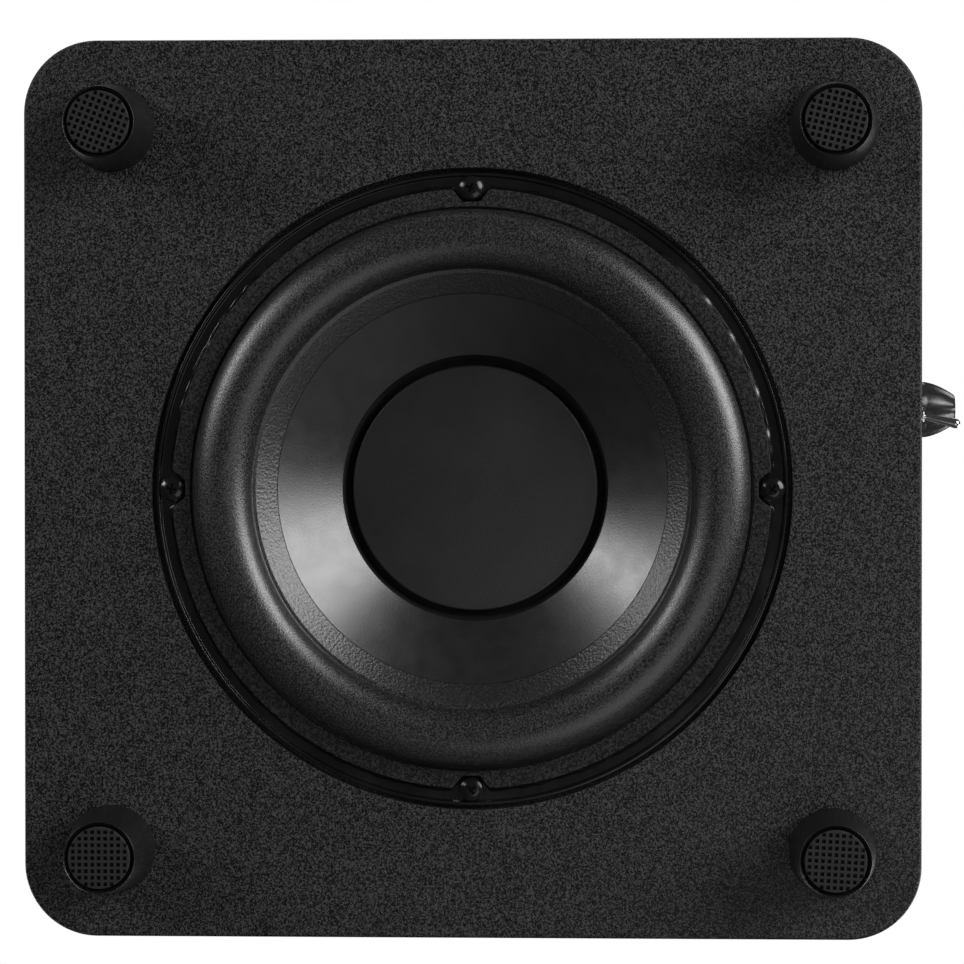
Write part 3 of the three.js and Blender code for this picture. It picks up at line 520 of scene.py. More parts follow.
def rectangle_path(width, height, radius, x=0.0, y=0.0):
    path = []
    across, up = width / 2 - radius, height / 2 - radius
    for quarter, (sx, sy) in enumerate([(1, 1), (-1, 1), (-1, -1), (1, -1)]):
        angles = spaced(quarter * TURN / 4, (quarter + 1) * TURN / 4, 8)
        path += on_circle(radius, angles, x + sx * across, y + sy * up)
    return path


# ---------------------------------------------------------------- cabinet
def cabinet_angles():
    """Directions round the cabinet, close together where its corners bend."""
    angles = []
    for quarter in range(4):
        offset = -45.0
        while offset < 44.9:
            angles.append(math.radians(45 + 90 * quarter + offset))
            offset += 0.5 if -6.01 < offset < 5.9 else 1.5
    return angles


CABINET_ANGLES = cabinet_angles()


def square_loop(inset, z):
    """Points where rays from the cabinet's axis leave a rounded square."""
    edge = HALF - inset
    radius = max(CORNER - inset, 1 * MM)
    straight = edge - radius
    loop = []
    for angle in CABINET_ANGLES:
        c, s = math.cos(angle), math.sin(angle)
        reach = edge / max(abs(c), abs(s))
        if min(abs(c), abs(s)) * reach > straight:
            along = straight * (abs(c) + abs(s))
            reach = along + math.sqrt(max(0, along ** 2 - 2 * straight ** 2 + radius ** 2))
        loop.append((CABINET.x + reach * c, CABINET.y + reach * s, z))
    return loop


def circle_loop(radius, z):
    return [(CABINET.x + radius * math.cos(a), CABINET.y + radius * math.sin(a), z) for a in CABINET_ANGLES]


SEAM = 0.35 * MM


def edge_loops(z_edge, direction, round_radius=SEAM, steps=3):
    """Loops round a horizontal outer edge, from the wall onto the flat face."""
    fillet = on_circle(round_radius, spaced(0, TURN / 4, steps))
    return [square_loop(round_radius - out, z_edge - direction * (round_radius - up)) for out, up in fillet]


def make_cabinet():
    wrap = MATERIALS["cabinet_wrap"]
    rebate_radius = FLANGE_RADIUS + 1.3 * MM
    rebate_top = FLANGE_LOW + 2.5 * MM
    rebate_lip = in_mm([(0.8, 0), (0.35, 0), (0.1, 0.1), (0, 0.35)])
    cutout = 93.5 * MM
    loops = [
        *reversed(edge_loops(BAFFLE_HIGH, 1)),
        *edge_loops(BAFFLE_LOW, -1, 0.9 * MM, 4),
        square_loop(1.3 * MM, BAFFLE_LOW),
        *[circle_loop(rebate_radius + out, BAFFLE_LOW + up) for out, up in rebate_lip],
        circle_loop(rebate_radius, rebate_top),
        circle_loop(cutout, rebate_top),
        circle_loop(cutout, BAFFLE_HIGH),
    ]
    holes = driver_screw_holes(BAFFLE_LOW, BAFFLE_HIGH + MM)
    for corner in FEET:
        hole = rod(2.4 * MM, BAFFLE_LOW - MM, BAFFLE_HIGH + MM)
        holes.append(shift(hole, at(middle(f"foot_{corner}").xy.to_3d())))
    finish_piece(carve(lofted("baffle_panel", loops, wrap), *holes), "cabinet_wrap", "bottom_baffle")

    loops = [
        *reversed(edge_loops(TOP_LOW, 1)),
        *edge_loops(BAFFLE_HIGH, -1),
        square_loop(WALL, BAFFLE_HIGH),
        square_loop(WALL, TOP_LOW),
    ]
    walls = lofted("cabinet_walls", loops, wrap)
    low = PLATE_LOW + Vector((13 * MM, -WALL - 5 * MM, 14 * MM))
    high = PLATE_HIGH - Vector((13 * MM, 0, 14 * MM))
    opening = box_mesh("opening", low / MM, high / MM)
    pilots = [shift(rod(1.9 * MM, -17 * MM, 0), on_panel(place)) for place in PLATE_SCREWS.values()]
    finish_piece(carve(walls, opening, *pilots), "cabinet_wrap", "cabinet_shell")

    loops = [*edge_loops(TOP_LOW, -1)[::-1], *edge_loops(TOP_HIGH, 1, 1.6 * MM, 6)]
    finish_piece(lofted("top_board", loops, wrap, ring=False), "cabinet_wrap", "top_panel")


# ---------------------------------------------------------------- feet
def make_feet():
    low, high = [level / MM for level in levels_of("foot_rear_right")]
    tip = radius_of("foot_pad_rear_right") / MM / 10.1 * 11.85
    base, bore, head_bore, pad_bore = 14.6, 2.7, 5.2, 10.35
    section = rounded_mm([
        (pad_bore, low + 1.3), (11.4, low + 0.15, 0.1), (11.55, low, 0.08), (tip, low + 0.1, 0.2),
        (base, high), (bore, high), (bore, 8.5), (head_bore, 8.5), (head_bore, 4.3), (pad_bore, 4.3),
    ])
    pad_section = rounded_mm([(0, 0), (10.05, 0, 0.35), (10.05, 4), (0, 4)])
    pad = turned("pad", pad_section, MATERIALS["pad_rubber"], 128)
    carve(pad, grip_pits(pitch=2.1 * MM, width=1.4 * MM, reach=9.9 * MM, depth=1.2 * MM))
    lattice_turn = {"front_left": 0, "front_right": 22, "rear_left": 3, "rear_right": 14}
    for corner in FEET:
        place = middle(f"foot_{corner}").xy.to_3d()
        foot = turned(f"foot_body_{corner}", section, MATERIALS["foot_plastic"], 128)
        finish_piece(shift(foot, at(place)), "foot_plastic", f"foot_{corner}")
        grip = shift(copy_of(pad, f"foot_grip_{corner}"), at(place, math.radians(lattice_turn[corner])))
        finish_piece(grip, "pad_rubber", f"foot_pad_{corner}")
    bpy.data.objects.remove(pad)


def grip_pits(pitch, width, reach, depth):
    """Square pits of the waffle pattern, out to the pad's edge."""
    data = bmesh.new()
    count = int(reach / pitch) + 1
    narrowing = 0.8
    for i in range(-count, count + 1):
        for j in range(-count, count + 1):
            if math.hypot(i, j) * pitch > reach:
                continue
            for vertex in bmesh.ops.create_cube(data, size=1)["verts"]:
                x, y, z = vertex.co
                across = width * (narrowing if z > 0 else 1)
                vertex.co = (i * pitch + x * across, j * pitch + y * across, z * 2 * depth)
    return object_from("pits", data, None)


# ---------------------------------------------------------------- driver
def above_flange(node):
    """The lowest and highest level of a node in millimetres above the driver's flange."""
    return [(level - FLANGE_LOW) / MM for level in levels_of(node)]


def driver_piece(name, corners, slot, segments=256, shape=None, steps=5):
    """A piece turned about the driver's axis, from corners in millimetres above the flange."""
    section = [(radius * MM, FLANGE_LOW + height * MM) for radius, height in rounded(corners, steps)]
    return shift(turned(name, section, MATERIALS[slot], segments, shape), at(CABINET))


def cross_blades(width, length, top, depth):
    """The two tapered blades of a cross recess, in millimetres, cut from z = top downwards into the head."""
    blades = []
    for x, y in ((length / 2, width / 2), (width / 2, length / 2)):
        blades.append(box_mesh("blade", (-x, -y, top - depth), (x, y, top + depth), taper=0.45))
    return blades


def driver_screw_holes(low, high):
    return [shift(rod(2.1 * MM, low, high), at(place)) for place in DRIVER_SCREWS.values()]


def make_driver_screws():
    radius, height = radius_of("driver_screw_right") / MM, 2.5
    shank, length = 1.75, 14
    section = rounded_mm([
        (0, -height),
        (radius * 0.55, -height * 0.95, radius * 0.4),
        (radius * 0.9, -height * 0.66, radius * 0.25),
        (radius, -height * 0.36, height * 0.12),
        (radius, 0), (shank, 0), (shank, length * 0.85), (0, length),
    ])
    source = turned("screw", section, MATERIALS["black_screw"], 64)
    carve(source, *cross_blades(0.95, 4.6, -height, 1.5))
    turns = {"right": 20, "rear": 38, "left": 52, "front": 12}
    for side, place in DRIVER_SCREWS.items():
        facing = at(place + Vector((0, 0, FLANGE_LOW)), math.radians(turns[side]))
        screw = shift(copy_of(source, f"pan_screw_{side}"), facing)
        finish_piece(screw, "black_screw", f"driver_screw_{side}")
    bpy.data.objects.remove(source)


def make_basket():
    rim, lip, sheet, ledge = FLANGE_RADIUS / MM, -0.75, 1.5, 40
    motor = above_flange("magnet_front_plate")[0]
    corners = [
        (91, 0), (rim - 1.7, 0, 0.3), (rim - 1.0, lip, 0.3), (rim, lip, 0.45), (rim, sheet), (92.5, sheet),
        (90.5, 20), (58, ledge + sheet, 2), (52, ledge + sheet), (52, motor), (30, motor),
        (30, motor - sheet), (50.5, motor - sheet), (50.5, ledge), (57.4, ledge), (89, 19.2, 4),
    ]
    basket = driver_piece("basket_frame", corners, "basket_steel")
    cutters = driver_screw_holes(FLANGE_LOW - MM, FLANGE_LOW + 2.5 * MM)
    windows = 6
    for k in range(windows):
        window = box_mesh("window", (61, -24, 7), (rim, 24, ledge - 1))
        cutters.append(shift(window, at(CABINET + Vector((0, 0, FLANGE_LOW)), k * TURN / windows)))
    finish_piece(carve(basket, *cutters), "basket_steel", "basket")


def make_trim_ring():
    """Flat ring whose outer edge dips inwards round each screw head, and the glue along that edge."""
    outer, inner = 98.5, 92.5
    low, high = above_flange("surround_trim_ring")
    dip_flat, dip_slope, dip_depth = 3.0, 3.2, 4.3

    def dipped(angle):
        """Radius of the outer edge in each direction, in metres."""
        offset = (angle + TURN / 8) % (TURN / 4) - TURN / 8
        rise = min(1, max(0, (abs(offset) * outer - dip_flat) / dip_slope))
        return (outer - (1 - rise) * dip_depth) * MM

    def shape(angle, radius, height):
        return radius if radius < 94 * MM else radius - outer * MM + dipped(angle)

    corners = [
        (inner, low, 0.3), (outer, low, 0.35), (outer, high),
        (outer - 0.8, high), (outer - 0.8, high - 0.75), (inner, high - 0.75),
    ]
    ring = driver_piece("trim_ring", corners, "trim_fibre", 720, shape, 3)
    finish_piece(ring, "trim_fibre", "surround_trim_ring")

    def squeezed(angle, radius, height):
        ripple = 0.12 * math.sin(37 * angle) + 0.1 * math.sin(91 * angle + 1.3)
        return dipped(angle) + (radius - outer * MM) * (1 + ripple)

    corners = [
        (outer + 0.02, high), (outer + 0.02, low + 0.8), (outer + 0.35, low + 1.15, 0.2),
        (outer + 1.0, high - 0.25, 0.3), (outer + 1.2, high),
    ]
    finish_piece(driver_piece("trim_glue_bead", corners, "basket_steel", 720, squeezed, 3), "basket_steel")


def follow_cone(made, outer_radius, inner_radius, slot, *nodes):
    """Bakes the piece's placement into its mesh and hides the CAD nodes that it replaces."""
    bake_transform(made)
    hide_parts(*nodes)


ROLL_CENTRE = 82.1
ROLL_HALF = 9.8
CONE_EDGE = 71.5
CONE_SLOPE = 0.69
LIP_INNER = 64.4
SHOULDER_RADIUS = 44.4


def cone_face(radius):
    """Height of the cone's sloping face above the flange, which the surround's inner lip is glued to."""
    return CONE_SLOPE * (CONE_EDGE - radius)


GROOVE = (42.4, cone_face(SHOULDER_RADIUS) + 3.3)
NECK = (26.2, 34.6)


def neck_face(radius):
    """Height of the cone's face between groove and neck, where the cap's skirt is glued."""
    share = (GROOVE[0] - radius) / (GROOVE[0] - NECK[0])
    return GROOVE[1] + share * (NECK[1] - GROOVE[1])


def roll_arc(half, rise, level, first, last):
    """Part of the half round roll, between two angles in degrees from its inner foot."""
    angles = [math.radians(degrees) for degrees in spaced(first, last, 36)]
    return [(ROLL_CENTRE - half * math.cos(a), level - rise * math.sin(a) ** 0.92) for a in angles]


def make_surround():
    skin, rim = 0.75, 94.1
    height = -skin - above_flange("surround")[0]
    corners = [
        (LIP_INNER, cone_face(LIP_INNER) - 0.1),
        (LIP_INNER + 0.15, cone_face(LIP_INNER) - skin, 0.3),
        (CONE_EDGE - 0.4, 0.28 - skin, 1.2),
        (ROLL_CENTRE - ROLL_HALF + 0.1, -skin, 0.35),
        *roll_arc(ROLL_HALF, height, -skin, 9, 168),
        (ROLL_CENTRE + ROLL_HALF - 0.1, -skin, 0.5),
        (rim, -skin), (rim, 0),
        *roll_arc(ROLL_HALF - skin, height - skin, 0, 180, 0),
        (CONE_EDGE, 0),
    ]
    surround = driver_piece("surround_roll", corners, "surround_rubber")
    surround.data.materials.append(GLUE_SKIN)
    for polygon in surround.data.polygons:
        if (polygon.center - CABINET).xy.length / MM < CONE_EDGE - 0.6:
            polygon.material_index = 1
    follow_cone(surround, 92.2, 72, "surround_rubber", "surround")


def make_spider():
    """A corrugated disc between the basket's ledge and the voice coil former."""
    level, half_skin = 38.7, 0.25
    first_wave, last_wave, pitch, swing = 28, 48.4, 6.8, 1.3
    line = []
    for radius in spaced(25.5, 56.5, 120):
        waving = first_wave < radius < last_wave
        wave = math.sin((radius - first_wave) / pitch * TURN) if waving else 0
        line.append((radius, level + swing * wave))
    corners = [(r, z - half_skin) for r, z in line] + [(r, z + half_skin) for r, z in line[::-1]]
    spider = driver_piece("spider_cloth_disc", corners, "spider_cloth", 128)
    follow_cone(spider, 50, 27, "spider_cloth", "spider")


def make_cone():
    top = above_flange("cone")[1]
    shoulder = cone_face(SHOULDER_RADIUS)
    cone = driver_piece("cone_body", [
        (25.35, top), NECK, (*GROOVE, 0.5), (SHOULDER_RADIUS, shoulder, 0.5),
        (CONE_EDGE, 0), (CONE_EDGE, 1.1), (SHOULDER_RADIUS + 0.9, shoulder + 0.7),
        (GROOVE[0] + 0.9, GROOVE[1] + 0.6), (27.4, NECK[1] + 0.9), (26.5, top),
    ], "cone_polymer")
    finish_piece(cone, "cone_polymer", "cone", body="cone_assembly")


def make_dust_cap():
    radius, skin, rise = 40.9, 0.9, 2.0
    edge = above_flange("dust_cap")[0] + rise

    def dome(offset):
        return [((radius - 1.6) * s, edge - rise * (1 - s * s) + offset) for s in spaced(0, 1, 12)]

    skirt = (radius, neck_face(radius))
    corner = rounded([(radius - 2.4, edge - 0.15), (radius, edge + 0.05, 0.8), skirt])
    inside = radius - skin
    cap = driver_piece("dust_cap_disc", [
        *dome(0), *corner[1:], (inside, neck_face(inside)), (inside, edge + 1.2), *dome(skin)[-2::-1],
    ], "cap_polymer")
    finish_piece(cap, "cap_polymer", "dust_cap", body="cone_assembly")


def make_leads():
    """The two braided leads sag from the terminal strip to the back of the cone."""
    strip_low = levels_of("terminal_strip")[0]
    route = [(70, -0.5), (68.6, -8), (59, -15.4), (47, -17), (38.2, -14)]
    for name, side in (("tinsel_lead_plus", 7), ("tinsel_lead_minus", -7)):
        curve = bpy.data.curves.new(name, "CURVE")
        curve.dimensions = "3D"
        curve.bevel_depth = 0.7 * MM
        curve.use_fill_caps = True
        curve.resolution_u = 10
        spline = curve.splines.new("BEZIER")
        spline.bezier_points.add(len(route) - 1)
        for point, (x, z) in zip(spline.bezier_points, route):
            point.co = CABINET + Vector((x * MM, side * MM, strip_low + z * MM))
            point.handle_left_type = point.handle_right_type = "AUTO"
        made = smooth_object(name + "_braid", curve_mesh(name, curve), MATERIALS["copper_braid"])
        follow_cone(made, 68, 40, "copper_braid", name)


# ---------------------------------------------------------------- rear panel
def panel_point(node):
    """The place on the plate's outer face that a control stands on."""
    place = middle(node)
    return Vector((place.x, PLATE_FACE, place.z))


def on_panel(place):
    return Matrix.Translation(place) @ STANDING_OUT


def set_on_panel(made, place, slot, *nodes, body="cabinet"):
    finish_piece(shift(made, on_panel(place)), slot, *nodes, body=body)


GAIN = panel_point("gain_knob")
CROSSOVER = panel_point("crossover_knob")
TOGGLE = panel_point("phase_switch_nut")
LAMP = panel_point("status_lamp")
INLET = panel_point("mains_inlet")
SWITCH = panel_point("power_switch_frame")
JACKS = {side: panel_point(f"input_jack_{side}") for side in ("left", "right")}
PLATE_SCREWS = {corner: panel_point(f"amp_screw_{corner}") for corner in PLATE_CORNERS}


def make_plate():
    centre = middle("amp_plate")
    size = (PLATE_HIGH - PLATE_LOW) / MM

    def local(place):
        return (place.x - centre.x) / MM, (centre.z - place.z) / MM

    rounds = [(GAIN, 3.8), (CROSSOVER, 3.8), (TOGGLE, 3.2), (LAMP, 2.8)]
    rounds += [(place, 4.6) for place in JACKS.values()]
    rounds += [(place, 3.75) for place in PLATE_SCREWS.values()]
    holes = [
        *[circle_path(radius, *local(place)) for place, radius in rounds],
        rectangle_path(27.6, 20.6, 1.2, *local(INLET)),
        rectangle_path(13.6, 20.1, 1, *local(SWITCH)),
    ]
    outline = rectangle_path(size.x, size.z, 6)
    plate = flat_plate("rear_plate", outline, holes, size.y, MATERIALS["plate_steel"])
    set_on_panel(plate, Vector((centre.x, PLATE_LOW.y, centre.z)), "plate_steel", "amp_plate")


def make_plate_screws():
    radius = radius_of("amp_screw_upper_left") / MM
    section = rounded_mm([(0, -15), (1.6, -13), (1.6, -2.1), (radius, -0.1, 0.1), (0, 0)])
    source = turned("screw", section, MATERIALS["black_screw"], 64)
    for blade in cross_blades(0.85, 4.2, 0, 1.4):
        carve(source, shift(blade, Matrix.Rotation(math.pi, 4, "X")))
    for k, (corner, place) in enumerate(PLATE_SCREWS.items()):
        screw = shift(copy_of(source, f"plate_screw_{corner}"), Matrix.Rotation(0.5 + 0.7 * k, 4, "Z"))
        set_on_panel(screw, place, "black_screw", f"amp_screw_{corner}")
    bpy.data.objects.remove(source)


KNOB_LENGTH = (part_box("gain_knob")[1].y - PLATE_FACE) / MM
KNOB_RADIUS = radius_of("gain_knob") / MM


def knob_profile(height):
    """Radius of the domed knob at a height above the plate, both in millimetres."""
    return KNOB_RADIUS - 0.0864 * max(0, height - 4) ** 1.652


def make_knobs():
    flutes, flute_depth = 12, 0.85 * MM
    flute_foot, flute_fade = 3.4 * MM, 1.5 * MM
    base, bore = 2, 3.4
    end = knob_profile(KNOB_LENGTH)
    section = in_mm([
        (bore, base), (KNOB_RADIUS - 0.25, base), (KNOB_RADIUS, base + 0.25),
        *[(knob_profile(h), h) for h in spaced(4, KNOB_LENGTH - 0.4, 14)],
        (end - 0.12, KNOB_LENGTH - 0.1), (end - 0.45, KNOB_LENGTH), (end - 1.2, KNOB_LENGTH),
        (end - 1.6, KNOB_LENGTH - 0.35), (0, KNOB_LENGTH - 0.5),
        (0, KNOB_LENGTH - 3.5), (bore, KNOB_LENGTH - 3.5),
    ])

    def fluted(angle, radius, height):
        if radius < 4.7 * MM or height < flute_foot:
            return radius
        share = (angle / TURN * flutes) % 1
        grow = min(1, (height - flute_foot) / flute_fade)
        return radius - flute_depth * 4 * share * (1 - share) * grow

    for label, place in (("gain", GAIN), ("crossover", CROSSOVER)):
        knob = turned(f"{label}_dial", section, MATERIALS["knob_plastic"], 168, fluted, sharp=24)
        shift(knob, Matrix.Rotation(math.radians(-4), 4, "Z"))
        set_on_panel(knob, place, "knob_plastic", f"{label}_knob", body=f"{label}_control")
        pointer = pointer_bar(f"{label}_pointer", 1.0, 0.18)
        set_on_panel(pointer, place, "knob_plastic", body=f"{label}_control")


def pointer_bar(name, width, rise):
    """A thin white bar up the side of the knob that faces the top of the plate, and onto its end."""
    line = [(knob_profile(height) - 0.35, height) for height in spaced(6, KNOB_LENGTH - 0.3, 9)]
    line.append((knob_profile(KNOB_LENGTH) - 0.9, KNOB_LENGTH - rise * 0.6))
    loops = []
    for radius, height in line:
        inside, outside = (-(radius - 0.5), height - 0.3), (-(radius + rise), height)
        loops.append(in_mm([
            (-width / 2, *inside), (width / 2, *inside), (width / 2, *outside), (-width / 2, *outside),
        ]))
    return lofted(name, loops, WHITE_INK, ring=False)


def hexagon(apothem):
    """Radius of a hexagon in each direction, cut back to a chamfer circle where it is smaller."""
    def shape(angle, radius, height):
        side = (angle + TURN / 12) % (TURN / 6) - TURN / 12
        return min(radius, apothem / math.cos(side))
    return shape


def make_toggle():
    plastic, chrome, steel = [MATERIALS[slot] for slot in ("switch_plastic", "switch_chrome", "plain_steel")]
    bore, barrel, crest, root, pitch = 2.2, 2.8, 2.88, 2.62, 0.5
    thread = []
    for turn in range(5):
        thread += [(crest, turn * pitch), (root, (turn + 0.5) * pitch)]
    section = rounded_mm([
        (bore, -2.4), (crest, -2.4), *thread,
        (barrel, 2.25), (barrel, 2.75, 0.25), (bore, 2.75, 0.2),
    ])
    bushing = turned("toggle_bushing", section, chrome, 96)
    body = box_mesh("toggle_box", (-4, -6.5, -12.5), (4, 6.5, -2.55), plastic, 0.3)
    pins = [box_mesh("pin", (-1, y - 0.7, -17), (1, y + 0.7, -12.4), steel, 0.1) for y in (-4.5, 0, 4.5)]
    switch = merged("toggle_switch", [bushing, body, *pins])
    set_on_panel(switch, TOGGLE, "switch_chrome", "phase_switch_body")

    section = rounded_mm([(3.2, 0), (4.6, 0), (4.6, 1.4), (4.1, 1.9), (3.2, 1.9, 0.15)])
    nut = turned("toggle_nut", section, chrome, 96, hexagon(3.98 * MM), sharp=20)
    set_on_panel(nut, TOGGLE, "switch_chrome", "phase_switch_nut")

    ball, neck, neck_end, tip, reach = 1.75, 0.95, 2.8, 1.74, 13.07
    section = in_mm([
        *on_circle(ball, spaced(-TURN / 4, TURN / 12, 12)), (neck, 1.8), (neck, neck_end),
        *[(neck + 0.72 * s ** 0.8, neck_end + 9.6 * s) for s in spaced(0, 1, 10)[1:-1]],
        *on_circle(tip, spaced(-TURN / 36, TURN / 4, 10), 0, reach),
    ])
    lever = turned("toggle_bat", section, chrome, 64)
    pivot = Matrix.Translation(TOGGLE + Vector((0, 1 * MM, 0)))
    shift(lever, pivot @ Matrix.Rotation(math.radians(12.5), 4, "Z") @ STANDING_OUT)
    finish_piece(lever, "switch_chrome", "phase_lever", body="phase_lever_body")


def make_jacks():
    back, front = -12.5, 6
    barrel_section = rounded_mm([(3.25, back), (4.2, back), (4.2, front, 0.3), (3.25, front, 0.2)])
    core_section = rounded_mm([
        (1.6, back), (3.2, back), (3.2, 0.9), (2.85, 0.9), (2.85, 5.4, 0.25), (1.6, 5.4, 0.15),
    ])
    for side, insert in (("left", WHITE_INSERT), ("right", RED_INSERT)):
        barrel = turned("barrel", barrel_section, MATERIALS["jack_metal"], 72)
        core = turned("core", core_section, insert, 72)
        jack = merged(f"phono_jack_{side}", [barrel, core])
        set_on_panel(jack, JACKS[side], "jack_metal", f"input_jack_{side}")


def housing(well, flange, sleeve, floor):
    """The flange round a well, the sleeve behind it and the well's floor, in millimetres.
    flange: width, height, corner, thickness, edge. sleeve: width, height, corner, length.
    floor: half width, half height, back, front, edge."""
    plastic = MATERIALS["switch_plastic"]
    overlap = 0.1
    front = flat_plate("flange", rectangle_path(*flange[:3]), [well], flange[3], plastic, flange[4])
    tube = flat_plate("sleeve", rectangle_path(*sleeve[:3]), [well], sleeve[3], plastic, 0.1)
    shift(tube, Matrix.Translation((0, 0, (overlap - sleeve[3]) * MM)))
    x, y, back, face, edge = floor
    return [front, tube, box_mesh("floor", (-x, -y, back), (x, y, face), plastic, edge)]


def make_inlet():
    clip, width, height = 4.5, 11.8, 7.9
    well = [
        (-width, -height), (width, -height), (width, height - clip),
        (width - clip, height), (-width + clip, height), (-width, height - clip),
    ]
    pieces = housing(well, (31, 24, 2.5, 1.8, 0.35), (27, 20, 1, 17), (13.4, 9.9, -18, -15, 0.3))
    for x, y in [(-7, 2), (7, 2), (0, -2)]:
        pieces.append(box_mesh("pin", (x - 1, y - 2, -16), (x + 1, y + 2, -2.1), CONTACT_METAL, 0.35))
    set_on_panel(merged("mains_socket", pieces), INLET, "switch_plastic", "mains_inlet")


def make_switch():
    well = rectangle_path(11.2, 18.4, 0.5)
    pieces = housing(well, (15.4, 22, 1.6, 1.5, 0.3), (13, 19.5, 0.8, 12.2), (6.4, 9.6, -15, -12.1, 0.2))
    set_on_panel(merged("switch_bezel", pieces), SWITCH, "switch_plastic", "power_switch_frame")

    pivot = Matrix.Translation(SWITCH + Vector((0, -1.8 * MM, 0)))
    tilt = Matrix.Rotation(math.radians(8), 4, "X")
    cap, *marks = rocker_pieces(radius=8.75, edge_height=5.1, valley=4.1, half_width=5.1)
    finish_piece(shift(cap, pivot @ tilt), "switch_plastic", "power_rocker", body="power_rocker_body")
    for mark in marks:
        finish_piece(shift(mark, pivot @ tilt), "switch_plastic", body="power_rocker_body")


def rocker_pieces(radius, edge_height, valley, half_width):
    """The rocker with its round back and dished front, and the bar and ring on it, in millimetres."""
    outer, inner = math.asin(edge_height / radius), math.asin(3 / radius)
    side = on_circle(radius, spaced(-inner, outer, 10))
    half_front = radius * math.cos(outer)
    dish = []
    for share in spaced(1, -1, 12)[1:-1]:
        dish.append((half_front * share, valley + (edge_height - valley) * abs(share) ** 1.3))
    outline = side + dish + [(-z, y) for z, y in side[::-1]]
    rounding = [(0.35, 0), (0.1, 0.12), (0, 0.35)]
    ends = [(inset, along - half_width) for inset, along in rounding]
    ends += [(inset, half_width - along) for inset, along in rounding[::-1]]
    loops = []
    for inset, x in ends:
        scale = 1 - inset / radius
        loops.append(in_mm([(x, y * scale, -z * scale) for z, y in outline]))
    cap = lofted("rocker_cap", loops, MATERIALS["switch_plastic"], ring=False, sharp=40)

    thickness = 0.06
    bar = box_mesh("rocker_bar_mark", (-0.3, -1.5, 0), (0.3, 1.5, thickness), WHITE_INK)
    ring_section = in_mm([(1.05, 0), (1.55, 0), (1.55, thickness), (1.05, thickness)])
    ring = turned("rocker_ring_mark", ring_section, WHITE_INK, 48)
    slope = math.atan2(edge_height - valley, half_front)
    lift = (edge_height + valley) / 2 - 0.05
    for mark, side in ((bar, 1), (ring, -1)):
        place = Vector((0, lift, side * half_front / 2)) * MM
        shift(mark, on_panel(place) @ Matrix.Rotation(side * slope, 4, "X"))
    return [cap, bar, ring]


def make_lamp():
    section = rounded_mm([(0, -10), (2.5, -10), (2.5, 0.5, 0.4), (1.5, 1.35, 0.8), (0, 1.5)])
    set_on_panel(turned("lamp_dome", section, MATERIALS["lamp_lens"], 64), LAMP, "lamp_lens", "status_lamp")


# Columns: across the panel as seen from behind, up the panel, and out of it.
VIEWED = Matrix(((-1, 0, 0, 0), (0, 0, 1, 0), (0, 1, 0, 0), (0, 0, 0, 1)))


def make_panel_marks():
    """Printed tick marks and plain dial numbers."""
    ink = 0.05
    long_tick, short_tick = 2.2, 1.4
    marks = []
    for place in (GAIN, CROSSOVER):
        for k in range(11):
            length = long_tick if k % 5 == 0 else short_tick
            tick = box_mesh("tick", (-0.2, 12, 0), (0.2, 12 + length, ink), WHITE_INK)
            facing = Matrix.Rotation(math.radians(150 - 30 * k), 4, "Z")
            marks.append(shift(tick, Matrix.Translation(place) @ VIEWED @ facing))
    labels = [
        ("0", GAIN, -9.5, -14.2), ("10", GAIN, 9.5, -14.2),
        ("40", CROSSOVER, -9.5, -14.2), ("160", CROSSOVER, 9.5, -14.2),
        ("0", TOGGLE, 8.5, -1.1), ("180", TOGGLE, -8.5, -1.1),
    ]
    for text, place, x, y in labels:
        beside = Matrix.Translation((x * MM, y * MM, 0))
        marks.append(shift(number(text, 2.9 * MM, ink * MM), Matrix.Translation(place) @ VIEWED @ beside))
    finish_piece(merged("panel_marks", marks), "plate_steel")


def number(text, size, thickness):
    curve = bpy.data.curves.new("number", "FONT")
    curve.body = text
    curve.size = size
    curve.align_x = "CENTER"
    curve.extrude = thickness / 2
    made = smooth_object("number", curve_mesh("number", curve), WHITE_INK)
    return shift(made, Matrix.Translation((0, 0, thickness / 2)))


# ---------------------------------------------------------------- CAD nodes that stay
def dress_cad_nodes():
    slot_of = {part["node"]: part["material_slot"] for part in frame["record"]["subparts"]}
    for name, node in frame["nodes"].items():
        node.data.materials.clear()
        node.data.materials.append(MATERIALS[slot_of[name]])


make_cabinet()
make_feet()
make_basket()
make_trim_ring()
make_surround()
make_spider()
make_driver_screws()
make_cone()
make_dust_cap()
make_leads()
make_plate()
make_plate_screws()
make_knobs()
make_toggle()
make_jacks()
make_inlet()
make_switch()
make_lamp()
make_panel_marks()
dress_cad_nodes()


# ---------------------------------------------------------------- floor, light and camera
def join_all(tree, *pairs):
    for output, socket in pairs:
        tree.links.new(output, socket)


